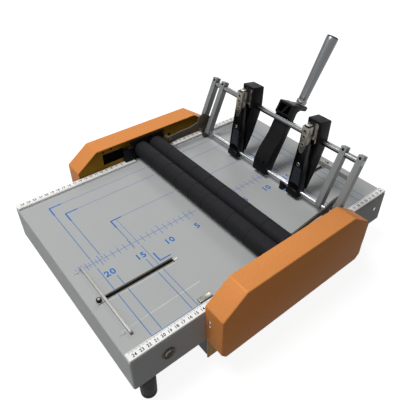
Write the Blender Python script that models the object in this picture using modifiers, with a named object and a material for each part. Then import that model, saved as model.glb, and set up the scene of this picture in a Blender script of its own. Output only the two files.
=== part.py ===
"""Electric booklet maker.

A low steel table lies between two side plates with folded metal covers. Paper lies on the table, a
knife below the fold line pushes it up between two rubber rollers, and two staplers on a swinging
frame are pulled over the fold line with the long handle.

Working frame: x runs along the paper's path from the fold line toward the staplers, y across it from
the printed centre line toward the far cover, z up from the table top. The last step sets the whole
machine down with its feet at z = 0, centred on the origin.
"""

import math

import bmesh
import bpy
from mathutils import Matrix, Vector

MM = 0.001

# Clearances
SEAT_GAP = 0.3 * MM
RUN_GAP = 0.3 * MM
SLIDE_GAP = 0.5 * MM
CUT_OVERRUN = 2 * MM

# Paper table
TABLE_REACH = 250 * MM
TABLE_NEAR = 164 * MM
TABLE_FAR = 186 * MM
TABLE_SHEET = 1.5 * MM
TABLE_BEND = 2.5 * MM
SKIRT_DEPTH = 57 * MM
SKIRT_START = 60 * MM
KNIFE_SLOT_WIDTH = 8 * MM

# Ruler strips
RULER_WIDTH = 12 * MM
RULER_THICKNESS = 3.5 * MM
RULER_EDGE_INSET = 0.8 * MM
RULER_END_INSET = 1 * MM
RULER_START = 34 * MM
RULER_BEVEL = 0.4 * MM

# Side plates and their covers
PLATE_THICKNESS = 2 * MM
PLATE_FOOT = 100 * MM
PLATE_INSET = 1.8 * MM
COVER_FRONT = 140 * MM
COVER_BACK = 150 * MM
COVER_TOP_FRONT = 98 * MM
COVER_TOP_BACK = 112 * MM
COVER_SHOULDER = 14.5 * MM
COVER_TOP = 43 * MM
COVER_DROP = 64 * MM
COVER_CORNER = 9 * MM
COVER_WALL = 1.5 * MM
COVER_BEND = 2 * MM
NEAR_COVER_DEPTH = 31 * MM
FAR_COVER_DEPTH = 35 * MM
WINDOW_FRONT = 90.5 * MM
WINDOW_BACK = 49 * MM
WINDOW_LOW = 10.5 * MM
WINDOW_HIGH = 32 * MM
BEARING_PAD_REACH = 33 * MM
BEARING_PAD_LOW = 1.5 * MM
BEARING_PAD_HIGH = 36 * MM
BEARING_PAD_THICKNESS = 2.8 * MM

# Chassis pan between the side plates
PAN_SHEET = 1.5 * MM
PAN_INSET = 2 * MM

# Folding rollers
GEAR_MODULE = 1.5 * MM
ROLLER_TEETH = 20
ROLLER_RADIUS = 14.8 * MM
ROLLER_LIFT = 18 * MM
ROLLER_END_INSET = 4 * MM
ROLLER_CORNER = 0.8 * MM
SHAFT_RADIUS = 5 * MM
SHAFT_CORNER = 0.6 * MM
NEAR_SHAFT_REACH = 20 * MM
FAR_SHAFT_REACH = 12 * MM
GEAR_WIDTH = 8 * MM
GEAR_STANDOFF = 8.5 * MM
BACKLASH = 0.35 * MM
PRESSURE_ANGLE = math.radians(20)

# Roller drive
DRIVE_TEETH = 42
DRIVE_DROP = 42 * MM
DRIVE_HUB_RADIUS = 9 * MM
MOTOR_RADIUS = 20 * MM
MOTOR_LENGTH = 74 * MM
GEARBOX_RADIUS = 21 * MM
GEARBOX_LENGTH = 34 * MM
MOTOR_CORNER = 1.5 * MM
MOTOR_NOSE_RADIUS = 8 * MM
MOTOR_NOSE_LENGTH = 6 * MM

# Fold knife
KNIFE_THICKNESS = 1.2 * MM
KNIFE_END_INSET = 12 * MM
KNIFE_REST_DROP = 3 * MM
KNIFE_TRAVEL = 16 * MM
CARRIER_TOP = 56 * MM
CARRIER_THICKNESS = 6 * MM
CARRIER_LIP = 6 * MM
CARRIER_WIDTH = 26 * MM
GUIDE_RADIUS = 4 * MM
GUIDE_OFFSET = 13 * MM
GUIDE_END_INSET = 32 * MM
GUIDE_TOP = 14 * MM
GUIDE_FLANGE_RADIUS = 9 * MM
GUIDE_FLANGE_THICKNESS = 3 * MM
LIFT_MODULE = 1.0 * MM
LIFT_TEETH = 18
RACK_WIDTH = 12 * MM
RACK_BODY = 10 * MM
RACK_LINE = 7 * MM
RACK_CENTRE = 11 * MM
PINION_DROP = 75.5 * MM
PINION_SHAFT_RADIUS = 3 * MM
LIFT_MOTOR_RADIUS = 12 * MM
LIFT_MOTOR_LENGTH = 48 * MM
LIFT_MOTOR_FOOT_WIDTH = 18 * MM

# Controller, mains inlet with its rocker, and foot switch socket
BOX_FRONT = 130 * MM
BOX_LENGTH = 66 * MM
BOX_NEAR = 20 * MM
BOX_WIDTH = 120 * MM
BOX_HEIGHT = 34 * MM
BOX_CORNER = 2 * MM
INLET_CENTRE = (COVER_BACK + TABLE_REACH) / 2
INLET_DROP = 29 * MM
INLET_LENGTH = 48 * MM
INLET_HEIGHT = 27 * MM
INLET_BODY_DEPTH = 26 * MM
INLET_FLANGE = 2.5 * MM
INLET_FLANGE_MARGIN = 2.5 * MM
INLET_RECESS_LENGTH = 22 * MM
INLET_RECESS_HEIGHT = 15 * MM
INLET_RECESS_DEPTH = 16 * MM
INLET_RECESS_OFFSET = 10.5 * MM
ROCKER_LENGTH = 12 * MM
ROCKER_HEIGHT = 19 * MM
ROCKER_DEPTH = 9 * MM
ROCKER_OFFSET = 13 * MM
ROCKER_PROUD = 2 * MM
ROCKER_GAP = 1.2 * MM
ROCKER_TILT = math.radians(8)
SOCKET_INSET = 51.5 * MM
SOCKET_DROP = 28.8 * MM
SOCKET_RADIUS = 9 * MM
SOCKET_BODY_RADIUS = 7.5 * MM
SOCKET_BORE = 5.5 * MM
SOCKET_RIM = 2.2 * MM
SOCKET_BODY_LENGTH = 15 * MM
SOCKET_BORE_DEPTH = 12 * MM

# Swinging frame
HINGE_OUT = 121 * MM
HINGE_LIFT = 15 * MM
LOWER_RAIL_RADIUS = 3.5 * MM
UPPER_RAIL_RADIUS = 5 * MM
RAIL_SPAN = 90 * MM
FRAME_LEAN = math.radians(23.6)
RAIL_END_INSET = 1.6 * MM
UPPER_RAIL_INSET = 3.5 * MM
ARM_WIDTH = 10 * MM
ARM_DEPTH = 12 * MM
ARM_TOP = 11 * MM
ARM_FAR_INSET = 6.2 * MM
ARM_NEAR_INSET = 8.8 * MM
ARM_FAR_PITCH = 24 * MM
ARM_NEAR_PITCH = 31 * MM
SET_SCREW_RADIUS = 1.9 * MM
CLAMP_SLIT_WIDTH = 1.2 * MM
CLAMP_SLIT_LENGTH = 16 * MM
BRACKET_THICKNESS = 3 * MM
BRACKET_REACH = 88 * MM
BRACKET_SPACING = 6.5 * MM
BRACKET_FOOT = 4 * MM
BRACKET_BOSS_RADIUS = 3.5 * MM
near_bracket_shares = [
    (-1.0, -0.02), (-0.61, 0.045), (-0.33, 0.097), (-0.09, 0.148), (0.08, 0.205), (0.227, 0.199),
    (0.222, 0.108), (0.091, 0.057), (0.08, -0.110), (-0.08, -0.110), (-0.08, -0.011), (-0.33, 0.0),
    (-0.61, -0.051), (-1.0, -0.119),
]
far_bracket_shares = [
    (-1.0, 0.182), (-0.61, 0.21), (-0.44, 0.205), (-0.34, 0.233), (-0.216, 0.256), (-0.17, 0.375),
    (-0.045, 0.42), (0.136, 0.29), (0.136, 0.205), (0.08, 0.17), (0.08, -0.110), (-0.08, -0.110),
    (-0.10, 0.091), (-0.28, 0.091), (-0.53, 0.057), (-1.0, 0.011),
]
near_boss_share = -0.07
far_boss_share = 0.10
boss_reach_share = 0.94

# Cast handle arm, in the leaning frame, as shares of the rail span
HANDLE_ARM_CENTRE = 7 * MM
HANDLE_ARM_WIDTH = 31 * MM
HANDLE_ARM_WALL = 3.5 * MM
LUG_WIDTH = 21 * MM
arm_front_shares = [(-0.044, -0.10), (-0.10, 0.11), (-0.078, 0.33), (0.015, 0.655)]
arm_front_high_share = 0.035
arm_head_shares = [(-0.030, 1.10), (0.0, 1.328), (0.260, 1.328)]
arm_back_shares = [(0.235, 1.240), (0.190, 1.215), (0.172, 1.160), (0.170, 0.90), (0.106, 0.022), (0.085, -0.10)]
lug_shares = [(0.12, 1.328), (0.49, 1.328), (0.528, 1.30), (0.516, 1.248), (0.49, 1.235), (0.12, 1.235)]
head_pocket_shares = [(-0.08, 1.12), (0.13, 1.12), (0.14, 1.285), (-0.08, 1.285)]

# Handle
HANDLE_SEAT = 38 * MM
HANDLE_TILT = math.radians(6.2)
HANDLE_LENGTH = 116 * MM
HANDLE_BASE_RADIUS = 7.4 * MM
HANDLE_TIP_RADIUS = 9.3 * MM
HANDLE_CORNER = 0.8 * MM
NUT_RADIUS = 10 * MM
NUT_HEIGHT = 5 * MM
NUT_CORNER = 0.8 * MM
NUT_SIDES = 6

# Staplers, from the hinge line, as shares of the stapler height; the head stands above the upper rail
STAPLER_HEAD = 38.5 * MM
STAPLER_WIDTH = 27 * MM
STAPLER_WALL = 3.5 * MM
STAPLER_CORNER = 2 * MM
NEAR_STAPLER_CENTRE = 72.5 * MM
FAR_STAPLER_CENTRE = 75.5 * MM
FOOT_WIDTH = 21 * MM
cover_profile_shares = [
    (0.082, 0.020), (0.094, 0.150), (0.122, 0.345), (0.110, 0.480), (0.160, 0.600), (0.182, 0.690), (0.188, 1.0),
    (0.397, 0.965), (0.388, 0.670), (0.358, 0.640), (0.358, 0.570), (0.240, 0.266), (0.105, 0.0),
]
cover_pocket_shares = [
    (0.05, 0.10), (0.100, 0.10), (0.20, 0.30), (0.310, 0.595), (0.325, 0.68), (0.335, 0.942), (0.10, 0.975),
]
cover_foot_shares = [(0.130, 0.20), (0.170, 0.225), (0.215, 0.20), (0.103, 0.0), (0.075, -0.054), (0.012, -0.054)]
channel_shares = [(0.150, 0.690), (0.160, 0.830), (0.172, 0.945), (0.262, 0.930), (0.258, 0.745), (0.225, 0.690)]
CHANNEL_SHEET = 1 * MM
CHANNEL_WEB = 1.5 * MM
MAGAZINE_LEAN = math.radians(5.3)
MAGAZINE_WIDTH = 28 * MM
MAGAZINE_WALL = 2 * MM
MAGAZINE_FACE = 6 * MM
MAGAZINE_REAR = 7 * MM
MAGAZINE_FOOT = 10 * MM
MAGAZINE_WAIST = 8 * MM
MAGAZINE_NECK_LENGTH = 2 * MM
MAGAZINE_BASE_PROUD = 3.5 * MM
MAGAZINE_BASE_TOP = 3.4 * MM
NOSE_WIDTH = 14 * MM
NOSE_DROP = 6 * MM
NOSE_LENGTH = 43 * MM
NOSE_REAR = 5.5 * MM
NOSE_SHEET = 1.6 * MM
RIVET_RADIUS = 1.7 * MM
rivet_height_shares = [0.911, 0.825, 0.735]

# Sliding paper stops
LEFT_STOP_INSET = 22.5 * MM
LEFT_STOP_FAR_END = 2.2 * MM
LEFT_STOP_NEAR_INSET = 32.8 * MM
LEFT_SLOT_END = 119 * MM
LEFT_BAR_WIDTH = 5 * MM
LEFT_BAR_HEIGHT = 5 * MM
RIGHT_STOP_INSET = 25 * MM
RIGHT_STOP_FAR_END = 3 * MM
RIGHT_STOP_NEAR_INSET = 64 * MM
RIGHT_SLOT_END = 150 * MM
RIGHT_BAR_WIDTH = 2 * MM
RIGHT_BAR_HEIGHT = 9 * MM
STOP_SLOT_WIDTH = 8.5 * MM
CLAMP_OFFSET = 7.5 * MM
CLAMP_LUG_WIDTH = 11 * MM
CLAMP_LUG_THICKNESS = 2 * MM
CLAMP_LUG_END = 5 * MM
STEM_RADIUS = 2.5 * MM
STEM_TOP = 8 * MM
SLIDER_LENGTH = 16 * MM
SLIDER_WIDTH = 16 * MM
SLIDER_THICKNESS = 4 * MM
GUIDE_WALL = 1 * MM
GUIDE_MARGIN = 5 * MM
KNOB_RADIUS = 4.5 * MM
KNOB_HEIGHT = 5 * MM
KNOB_CORNER = 0.8 * MM

# Guide tab beside the near cover
TAB_CENTRE = 126 * MM
TAB_INSET = 23 * MM
TAB_LENGTH = 20 * MM
TAB_WIDTH = 7.5 * MM
TAB_THICKNESS = 2.5 * MM

# Feet
DESK_DROP = 112 * MM
FOOT_END_INSET = 25 * MM
NEAR_FOOT_INSET = 14.5 * MM
FAR_FOOT_CLEARANCE = 2 * MM
FOOT_RADIUS = 12 * MM
FOOT_TIP_RADIUS = 11 * MM
FOOT_TIP_CORNER = 2.5 * MM
FOOT_HEAD = 51 * MM
FOOT_POST_RADIUS = 6 * MM

# Facets
ROUND_STEPS = 32
SMALL_STEPS = 16
BORE_POINTS = 20
ARC_POINTS = 8
BEND_SEGMENTS = 2
SMOOTH_ANGLE = math.radians(35)

# Places that several pieces share
ROLLER_OUT = GEAR_MODULE * ROLLER_TEETH / 2
NEAR_PLATE_IN = -TABLE_NEAR - SEAT_GAP
NEAR_PLATE_OUT = NEAR_PLATE_IN - PLATE_THICKNESS
FAR_PLATE_IN = TABLE_FAR + SEAT_GAP
FAR_PLATE_OUT = FAR_PLATE_IN + PLATE_THICKNESS
DRIVE_REACH = GEAR_MODULE * (ROLLER_TEETH + DRIVE_TEETH) / 2
DRIVE_OUT = math.sqrt(DRIVE_REACH**2 - DRIVE_DROP**2)
DRIVE_X = -ROLLER_OUT - DRIVE_OUT
DRIVE_Z = ROLLER_LIFT - DRIVE_DROP
SOCKET_CENTRE = TABLE_REACH - SOCKET_INSET
FOOT_OUT = TABLE_REACH - FOOT_END_INSET
FAR_FOOT_INSET = INLET_BODY_DEPTH + FAR_FOOT_CLEARANCE + FOOT_RADIUS
TAB_EDGE = TABLE_NEAR - TAB_INSET
LEFT_STOP_X = TABLE_REACH - LEFT_STOP_INSET
LEFT_STOP_Y = (TABLE_NEAR - LEFT_STOP_NEAR_INSET - LEFT_STOP_FAR_END) / 2
LEFT_STOP_REACH = LEFT_STOP_Y + LEFT_STOP_FAR_END
RIGHT_STOP_X = TABLE_REACH - RIGHT_STOP_INSET
RIGHT_STOP_Y = (TABLE_NEAR - RIGHT_STOP_NEAR_INSET - RIGHT_STOP_FAR_END) / 2
RIGHT_STOP_REACH = RIGHT_STOP_Y + RIGHT_STOP_FAR_END
STAPLER_HEIGHT = RAIL_SPAN * math.cos(FRAME_LEAN) + STAPLER_HEAD
NOSE_TOP = STAPLER_HEIGHT - NOSE_DROP
MAGAZINE_TOP = NOSE_TOP - NOSE_LENGTH
MAGAZINE_NECK = MAGAZINE_TOP - MAGAZINE_NECK_LENGTH
PINION_RADIUS = LIFT_MODULE * LIFT_TEETH / 2
PINION_X = RACK_LINE + PINION_RADIUS
FULL_TURN = 2 * math.pi


def clear_scene():
    for old in list(bpy.data.objects):
        bpy.data.objects.remove(old, do_unlink=True)


def new_collection(name):
    made = bpy.data.collections.new(name)
    bpy.context.scene.collection.children.link(made)
    return made


def new_empty(name, place, parent=None):
    made = bpy.data.objects.new(name, None)
    made.location = place
    made.parent = parent
    parts.objects.link(made)
    return made


def new_material(name, colour, roughness, metallic):
    made = bpy.data.materials.new(name)
    made.use_nodes = True
    shader = made.node_tree.nodes["Principled BSDF"]
    shader.inputs["Base Color"].default_value = (*colour, 1.0)
    shader.inputs["Roughness"].default_value = roughness
    shader.inputs["Metallic"].default_value = metallic
    made.diffuse_color = (*colour, 1.0)
    return made


def add_solid(name, mesh, material, place=(0, 0, 0), turn=(0, 0, 0), carrier=None):
    """One named piece, placed in the working frame and carried by the machine or by a joint's empty."""
    made = bpy.data.objects.new(name, mesh)
    made.rotation_euler = turn
    made.parent = carrier or machine
    shift = Vector(place)
    if carrier:
        shift -= carrier.location
    made.location = shift
    if material:
        made.data.materials.append(material)
    parts.objects.link(made)
    return made


def box_mesh(name, low, high, open_faces=()):
    """A box between two corners; open_faces lists the outward directions of the faces left out."""
    low = Vector(low)
    high = Vector(high)
    shape = bmesh.new()
    bmesh.ops.create_cube(shape, size=1)
    bmesh.ops.scale(shape, vec=high - low, verts=shape.verts)
    bmesh.ops.translate(shape, vec=(high + low) / 2, verts=shape.verts)
    shape.normal_update()
    gone = [f for f in shape.faces for way in open_faces if f.normal.dot(Vector(way)) > 0.5]
    if gone:
        bmesh.ops.delete(shape, geom=gone, context="FACES")
    mesh = bpy.data.meshes.new(name)
    shape.to_mesh(mesh)
    shape.free()
    return mesh


def outline_mesh(name, loops, thickness, open_side=0):
    """A flat outline in the local x-y plane with its holes, thickened both ways along local z.

    open_side leaves out the face on that side of the plane, for a shell.
    """
    curve = bpy.data.curves.new(name + "_outline", "CURVE")
    curve.dimensions = "2D"
    curve.fill_mode = "BOTH"
    curve.extrude = thickness / 2
    for loop in loops:
        spline = curve.splines.new("POLY")
        spline.points.add(len(loop) - 1)
        for point, (x, y) in zip(spline.points, loop):
            point.co = (x, y, 0, 1)
        spline.use_cyclic_u = True
    guide = bpy.data.objects.new(name + "_outline", curve)
    bpy.context.scene.collection.objects.link(guide)
    bpy.context.view_layer.update()
    evaluated = guide.evaluated_get(bpy.context.evaluated_depsgraph_get())
    mesh = bpy.data.meshes.new_from_object(evaluated)
    bpy.data.objects.remove(guide, do_unlink=True)
    mesh.name = name
    shape = bmesh.new()
    shape.from_mesh(mesh)
    bmesh.ops.remove_doubles(shape, verts=shape.verts, dist=1e-6)
    bmesh.ops.recalc_face_normals(shape, faces=shape.faces)
    shape.normal_update()
    if open_side:
        gone = [f for f in shape.faces if f.normal.z * open_side > 0.5]
        bmesh.ops.delete(shape, geom=gone, context="FACES")
        bmesh.ops.dissolve_limit(
            shape, angle_limit=math.radians(1), verts=shape.verts, edges=shape.edges
        )
    shape.to_mesh(mesh)
    shape.free()
    return mesh


def turned(name, profile, material, place, turn=(0, 0, 0), carrier=None, steps=ROUND_STEPS, closed=False):
    """A profile of (radius, height) points, top to bottom, turned about local z."""
    mesh = bpy.data.meshes.new(name)
    edges = [(i, i + 1) for i in range(len(profile) - 1)]
    if closed:
        edges.append((len(profile) - 1, 0))
    mesh.from_pydata([(r, 0, h) for r, h in profile], edges, [])
    made = add_solid(name, mesh, material, place, turn, carrier)
    screw = made.modifiers.new("turn", "SCREW")
    screw.axis = "Z"
    screw.steps = steps
    screw.render_steps = steps
    screw.use_merge_vertices = True
    screw.merge_threshold = 1e-5
    screw.use_smooth_shade = True
    return made


def rod_profile(radius, low, high, corner):
    """A solid rod along local z with small corner chamfers."""
    return [
        (0, high),
        (radius - corner, high),
        (radius, high - corner),
        (radius, low + corner),
        (radius - corner, low),
        (0, low),
    ]


def sleeve_profile(radius, bore, low, high, corner):
    """A tube along local z, its profile closed through the bore."""
    return [
        (radius - corner, high),
        (radius, high - corner),
        (radius, low + corner),
        (radius - corner, low),
        (bore, low),
        (bore, high),
    ]


def round_edges(made, width, segments=BEND_SEGMENTS, angle=SMOOTH_ANGLE):
    bevel = made.modifiers.new("round", "BEVEL")
    bevel.width = width
    bevel.segments = segments
    bevel.limit_method = "ANGLE"
    bevel.angle_limit = angle
    bevel.harden_normals = False
    return bevel


def thicken(made, wall):
    """Thickens an open surface inward by the sheet's thickness."""
    sheet = made.modifiers.new("sheet", "SOLIDIFY")
    sheet.thickness = wall
    sheet.offset = -1
    sheet.use_even_offset = True
    return sheet


def hide_cutter(cutter):
    for holder in list(cutter.users_collection):
        holder.objects.unlink(cutter)
    cutters.objects.link(cutter)
    cutter.hide_render = True
    cutter.display_type = "WIRE"


def carve(made, cutter, operation="DIFFERENCE"):
    step = made.modifiers.new(operation.lower(), "BOOLEAN")
    step.operation = operation
    step.solver = "EXACT"
    step.object = cutter
    hide_cutter(cutter)


def box_cutter(name, low, high, carrier=None):
    return add_solid(name, box_mesh(name, low, high), None, carrier=carrier, place=carrier.location if carrier else (0, 0, 0))


def shade(made):
    made.data.shade_smooth()
    made.data.set_sharp_from_angle(angle=SMOOTH_ANGLE)


def arc(centre, radius, start, end, count=ARC_POINTS):
    return [
        (
            centre[0] + radius * math.cos(start + (end - start) * i / count),
            centre[1] + radius * math.sin(start + (end - start) * i / count),
        )
        for i in range(count + 1)
    ]


def circle(centre, radius, count=BORE_POINTS):
    return arc(centre, radius, 0, FULL_TURN * (count - 1) / count, count - 1)


def scaled(shares, size):
    return [(x * size, z * size) for x, z in shares]


def moved(points, shift):
    return [(x + shift[0], z + shift[1]) for x, z in points]


def inset_outline(points, distance):
    """Each edge of a clockwise outline moved inward by distance, with sharp corners."""
    result = []
    for before, here, after in zip(points[-1:] + points[:-1], points, points[1:] + points[:1]):
        first = (Vector(here) - Vector(before)).normalized()
        second = (Vector(after) - Vector(here)).normalized()
        normal = Vector((first.y, -first.x)) + Vector((second.y, -second.x))
        share = distance / (1 + first.dot(second))
        result.append((here[0] + normal.x * share, here[1] + normal.y * share))
    return result


def involute(angle):
    return math.tan(angle) - angle


def gear_outline(teeth, module, phase):
    """Spur gear with a tooth centred at the phase angle, thinned for backlash."""
    pitch = module * teeth / 2
    base = pitch * math.cos(PRESSURE_ANGLE)
    tip = pitch + module
    root = pitch - 1.25 * module
    half = math.pi / (2 * teeth) - BACKLASH / (2 * pitch)

    def flank(radius):
        rolled = math.acos(min(1, base / radius))
        return half + involute(PRESSURE_ANGLE) - involute(rolled)

    radii = [(root, flank(max(root, base))), (pitch, half), (tip, flank(tip))]
    points = []
    for tooth in range(teeth):
        middle = phase + FULL_TURN * tooth / teeth
        for radius, side in radii:
            points.append((radius * math.cos(middle - side), radius * math.sin(middle - side)))
        for radius, side in reversed(radii):
            points.append((radius * math.cos(middle + side), radius * math.sin(middle + side)))
    return points


def meshed_phase(phase, teeth, direction, other_teeth):
    """The phase of the gear that lies in this direction and meshes with the first one."""
    pitch = FULL_TURN / teeth
    offset = (phase - direction) % pitch
    return direction + math.pi - offset * teeth / other_teeth + math.pi / other_teeth


def side_piece(name, loops, width, centre_y, material, carrier=None, lean=0.0, place=(0, 0)):
    """An outline in the x-z plane, thickened across the machine about centre_y."""
    mesh = outline_mesh(name, loops, width)
    at = (place[0], centre_y, place[1])
    return add_solid(name, mesh, material, at, (math.pi / 2, lean, 0), carrier)


def across(name, profile, material, x, z, carrier=None, steps=ROUND_STEPS, closed=False):
    """A turned piece whose axis runs along y."""
    return turned(name, profile, material, (x, 0, z), (-math.pi / 2, 0, 0), carrier, steps, closed)


clear_scene()
parts = new_collection("booklet_maker")
cutters = new_collection("booklet_maker_cutters")
machine = new_empty("machine", (0, 0, 0))

paint_grey = new_material("paint_grey", (0.43, 0.45, 0.45), 0.45, 0.0)
paint_copper = new_material("paint_copper", (0.60, 0.24, 0.075), 0.35, 0.6)
paint_bronze = new_material("paint_bronze", (0.10, 0.06, 0.015), 0.45, 0.5)
paint_black = new_material("paint_black", (0.015, 0.015, 0.016), 0.4, 0.0)
steel = new_material("steel", (0.55, 0.55, 0.53), 0.3, 1.0)
chrome = new_material("chrome", (0.78, 0.78, 0.78), 0.12, 1.0)
nickel = new_material("nickel", (0.42, 0.41, 0.38), 0.28, 1.0)
aluminium = new_material("aluminium", (0.52, 0.52, 0.52), 0.4, 1.0)
rubber = new_material("rubber", (0.016, 0.016, 0.017), 0.7, 0.0)
plastic_black = new_material("plastic_black", (0.012, 0.012, 0.013), 0.35, 0.0)
ruler_white = new_material("ruler_white", (0.85, 0.85, 0.84), 0.4, 0.0)
acetal = new_material("acetal", (0.70, 0.69, 0.66), 0.5, 0.0)

# Joint axes
front_axis = new_empty("roller_front_axis", (-ROLLER_OUT, 0, ROLLER_LIFT), machine)
rear_axis = new_empty("roller_rear_axis", (ROLLER_OUT, 0, ROLLER_LIFT), machine)
drive_axis = new_empty("drive_axis", (DRIVE_X, 0, DRIVE_Z), machine)
knife_line = new_empty("knife_line", (0, 0, 0), machine)
pinion_axis = new_empty("pinion_axis", (PINION_X, RACK_CENTRE, -PINION_DROP), machine)
swing_hinge = new_empty("swing_hinge", (HINGE_OUT, 0, HINGE_LIFT), machine)
left_stop_line = new_empty("left_stop_line", (-LEFT_STOP_X, -LEFT_STOP_Y, 0), machine)
right_stop_line = new_empty("right_stop_line", (RIGHT_STOP_X, -RIGHT_STOP_Y, 0), machine)


# Table trays: folded sheet, open below and toward the fold line
def table_tray(name, side):
    inner = KNIFE_SLOT_WIDTH / 2
    ends = sorted((side * inner, side * TABLE_REACH))
    low = (ends[0], -TABLE_NEAR, -SKIRT_DEPTH)
    high = (ends[1], TABLE_FAR, 0)
    mesh = box_mesh(name, low, high, open_faces=((0, 0, -1), (-side, 0, 0)))
    made = add_solid(name, mesh, paint_grey)
    round_edges(made, TABLE_BEND)
    thicken(made, TABLE_SHEET)
    relief = sorted((side * (inner - CUT_OVERRUN), side * SKIRT_START))
    carve(
        made,
        box_cutter(
            name + "_skirt_relief",
            (relief[0], -TABLE_NEAR - CUT_OVERRUN, -SKIRT_DEPTH - CUT_OVERRUN),
            (relief[1], TABLE_FAR + CUT_OVERRUN, -TABLE_SHEET),
        ),
    )
    return made


def cut_stop_slot(tray, side, bar_x, slot_end, centre_y):
    """A channel welded under the table for the stop's slider, and the slot above it."""
    far_end = bar_x + CLAMP_OFFSET + STEM_RADIUS + SLIDE_GAP
    ends = sorted((side * slot_end, side * far_end))
    room = SLIDER_WIDTH / 2 + SLIDE_GAP
    floor = -TABLE_SHEET - 2 * SEAT_GAP - SLIDER_THICKNESS
    margin = SLIDER_LENGTH / 2
    channel_ends = sorted((side * (slot_end - GUIDE_MARGIN), side * (far_end + margin - STEM_RADIUS)))
    carve(
        tray,
        box_cutter(
            tray.name + "_guide",
            (channel_ends[0], -centre_y - room - GUIDE_WALL, floor - GUIDE_WALL),
            (channel_ends[1], -centre_y + room + GUIDE_WALL, -TABLE_SHEET / 2),
        ),
        "UNION",
    )
    carve(
        tray,
        box_cutter(
            tray.name + "_guide_room",
            (channel_ends[0] - CUT_OVERRUN, -centre_y - room, floor),
            (channel_ends[1] + CUT_OVERRUN, -centre_y + room, -TABLE_SHEET),
        ),
    )
    carve(
        tray,
        box_cutter(
            tray.name + "_stop_slot",
            (ends[0], -centre_y - STOP_SLOT_WIDTH / 2, -TABLE_SHEET - SEAT_GAP),
            (ends[1], -centre_y + STOP_SLOT_WIDTH / 2, CUT_OVERRUN),
        ),
    )


table_left = table_tray("table_left", -1)
table_right = table_tray("table_right", 1)
cut_stop_slot(table_left, -1, LEFT_STOP_X, LEFT_SLOT_END, LEFT_STOP_Y)
cut_stop_slot(table_right, 1, RIGHT_STOP_X, RIGHT_SLOT_END, RIGHT_STOP_Y)
carve(
    table_left,
    turned(
        "socket_hole",
        rod_profile(SOCKET_BODY_RADIUS + SEAT_GAP, -CUT_OVERRUN - TABLE_SHEET, CUT_OVERRUN, 0),
        None,
        (-SOCKET_CENTRE, -TABLE_NEAR, -SOCKET_DROP),
        (math.pi / 2, 0, 0),
        steps=SMALL_STEPS,
    ),
)
carve(
    table_right,
    box_cutter(
        "inlet_hole",
        (
            INLET_CENTRE - INLET_LENGTH / 2 - SEAT_GAP,
            TABLE_FAR - TABLE_SHEET - CUT_OVERRUN,
            -INLET_DROP - INLET_HEIGHT / 2 - SEAT_GAP,
        ),
        (
            INLET_CENTRE + INLET_LENGTH / 2 + SEAT_GAP,
            TABLE_FAR + CUT_OVERRUN,
            -INLET_DROP + INLET_HEIGHT / 2 + SEAT_GAP,
        ),
    ),
)

# Ruler strips along both table edges
for row, edge in (("near", -TABLE_NEAR + RULER_EDGE_INSET), ("far", TABLE_FAR - RULER_EDGE_INSET - RULER_WIDTH)):
    for hand, side in (("left", -1), ("right", 1)):
        ends = sorted((side * RULER_START, side * (TABLE_REACH - RULER_END_INSET)))
        ruler_name = "ruler_" + row + "_" + hand
        ruler_mesh = box_mesh(
            ruler_name, (ends[0], edge, SEAT_GAP), (ends[1], edge + RULER_WIDTH, SEAT_GAP + RULER_THICKNESS)
        )
        round_edges(add_solid(ruler_name, ruler_mesh, ruler_white), RULER_BEVEL, segments=1)

# Side plates and covers share one outline
cover_outline = [
    (-COVER_FRONT, -COVER_DROP),
    (-COVER_FRONT, COVER_SHOULDER),
    (-COVER_TOP_FRONT, COVER_TOP),
    (COVER_TOP_BACK, COVER_TOP),
    (COVER_BACK, COVER_SHOULDER),
    (COVER_BACK, -COVER_DROP),
]
plate_outline = inset_outline(cover_outline, PLATE_INSET)
plate_outline[0] = (plate_outline[0][0], -PLATE_FOOT)
plate_outline[-1] = (plate_outline[-1][0], -PLATE_FOOT)
drive_bore = circle((DRIVE_X, DRIVE_Z), MOTOR_NOSE_RADIUS + SEAT_GAP)
window = [
    (-WINDOW_FRONT, WINDOW_LOW),
    (-WINDOW_FRONT, WINDOW_HIGH),
    (-WINDOW_BACK, WINDOW_HIGH),
    (-WINDOW_BACK, WINDOW_LOW),
]


def side_plate(name, plate_in, outward, openings):
    """Flat plate with a welded bearing pad round the roller shafts on its inner face."""
    made = side_piece(
        name, [plate_outline, *openings], PLATE_THICKNESS, plate_in + outward * PLATE_THICKNESS / 2, paint_bronze
    )
    pad = sorted((plate_in - outward * BEARING_PAD_THICKNESS, plate_in + outward * PLATE_THICKNESS / 2))
    carve(
        made,
        box_cutter(
            name + "_pad",
            (-BEARING_PAD_REACH, pad[0], BEARING_PAD_LOW),
            (BEARING_PAD_REACH, pad[1], BEARING_PAD_HIGH),
        ),
        "UNION",
    )
    for hand, place_x in (("front", -ROLLER_OUT), ("rear", ROLLER_OUT)):
        carve(
            made,
            across(
                name + "_" + hand + "_bore",
                rod_profile(SHAFT_RADIUS + RUN_GAP, pad[0] - CUT_OVERRUN, pad[1] + CUT_OVERRUN, 0),
                None,
                place_x,
                ROLLER_LIFT,
                steps=SMALL_STEPS,
            ),
        )
    return made


side_plate("side_plate_near", NEAR_PLATE_IN, -1, [drive_bore])
side_plate("side_plate_far", FAR_PLATE_IN, 1, [window])


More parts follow.
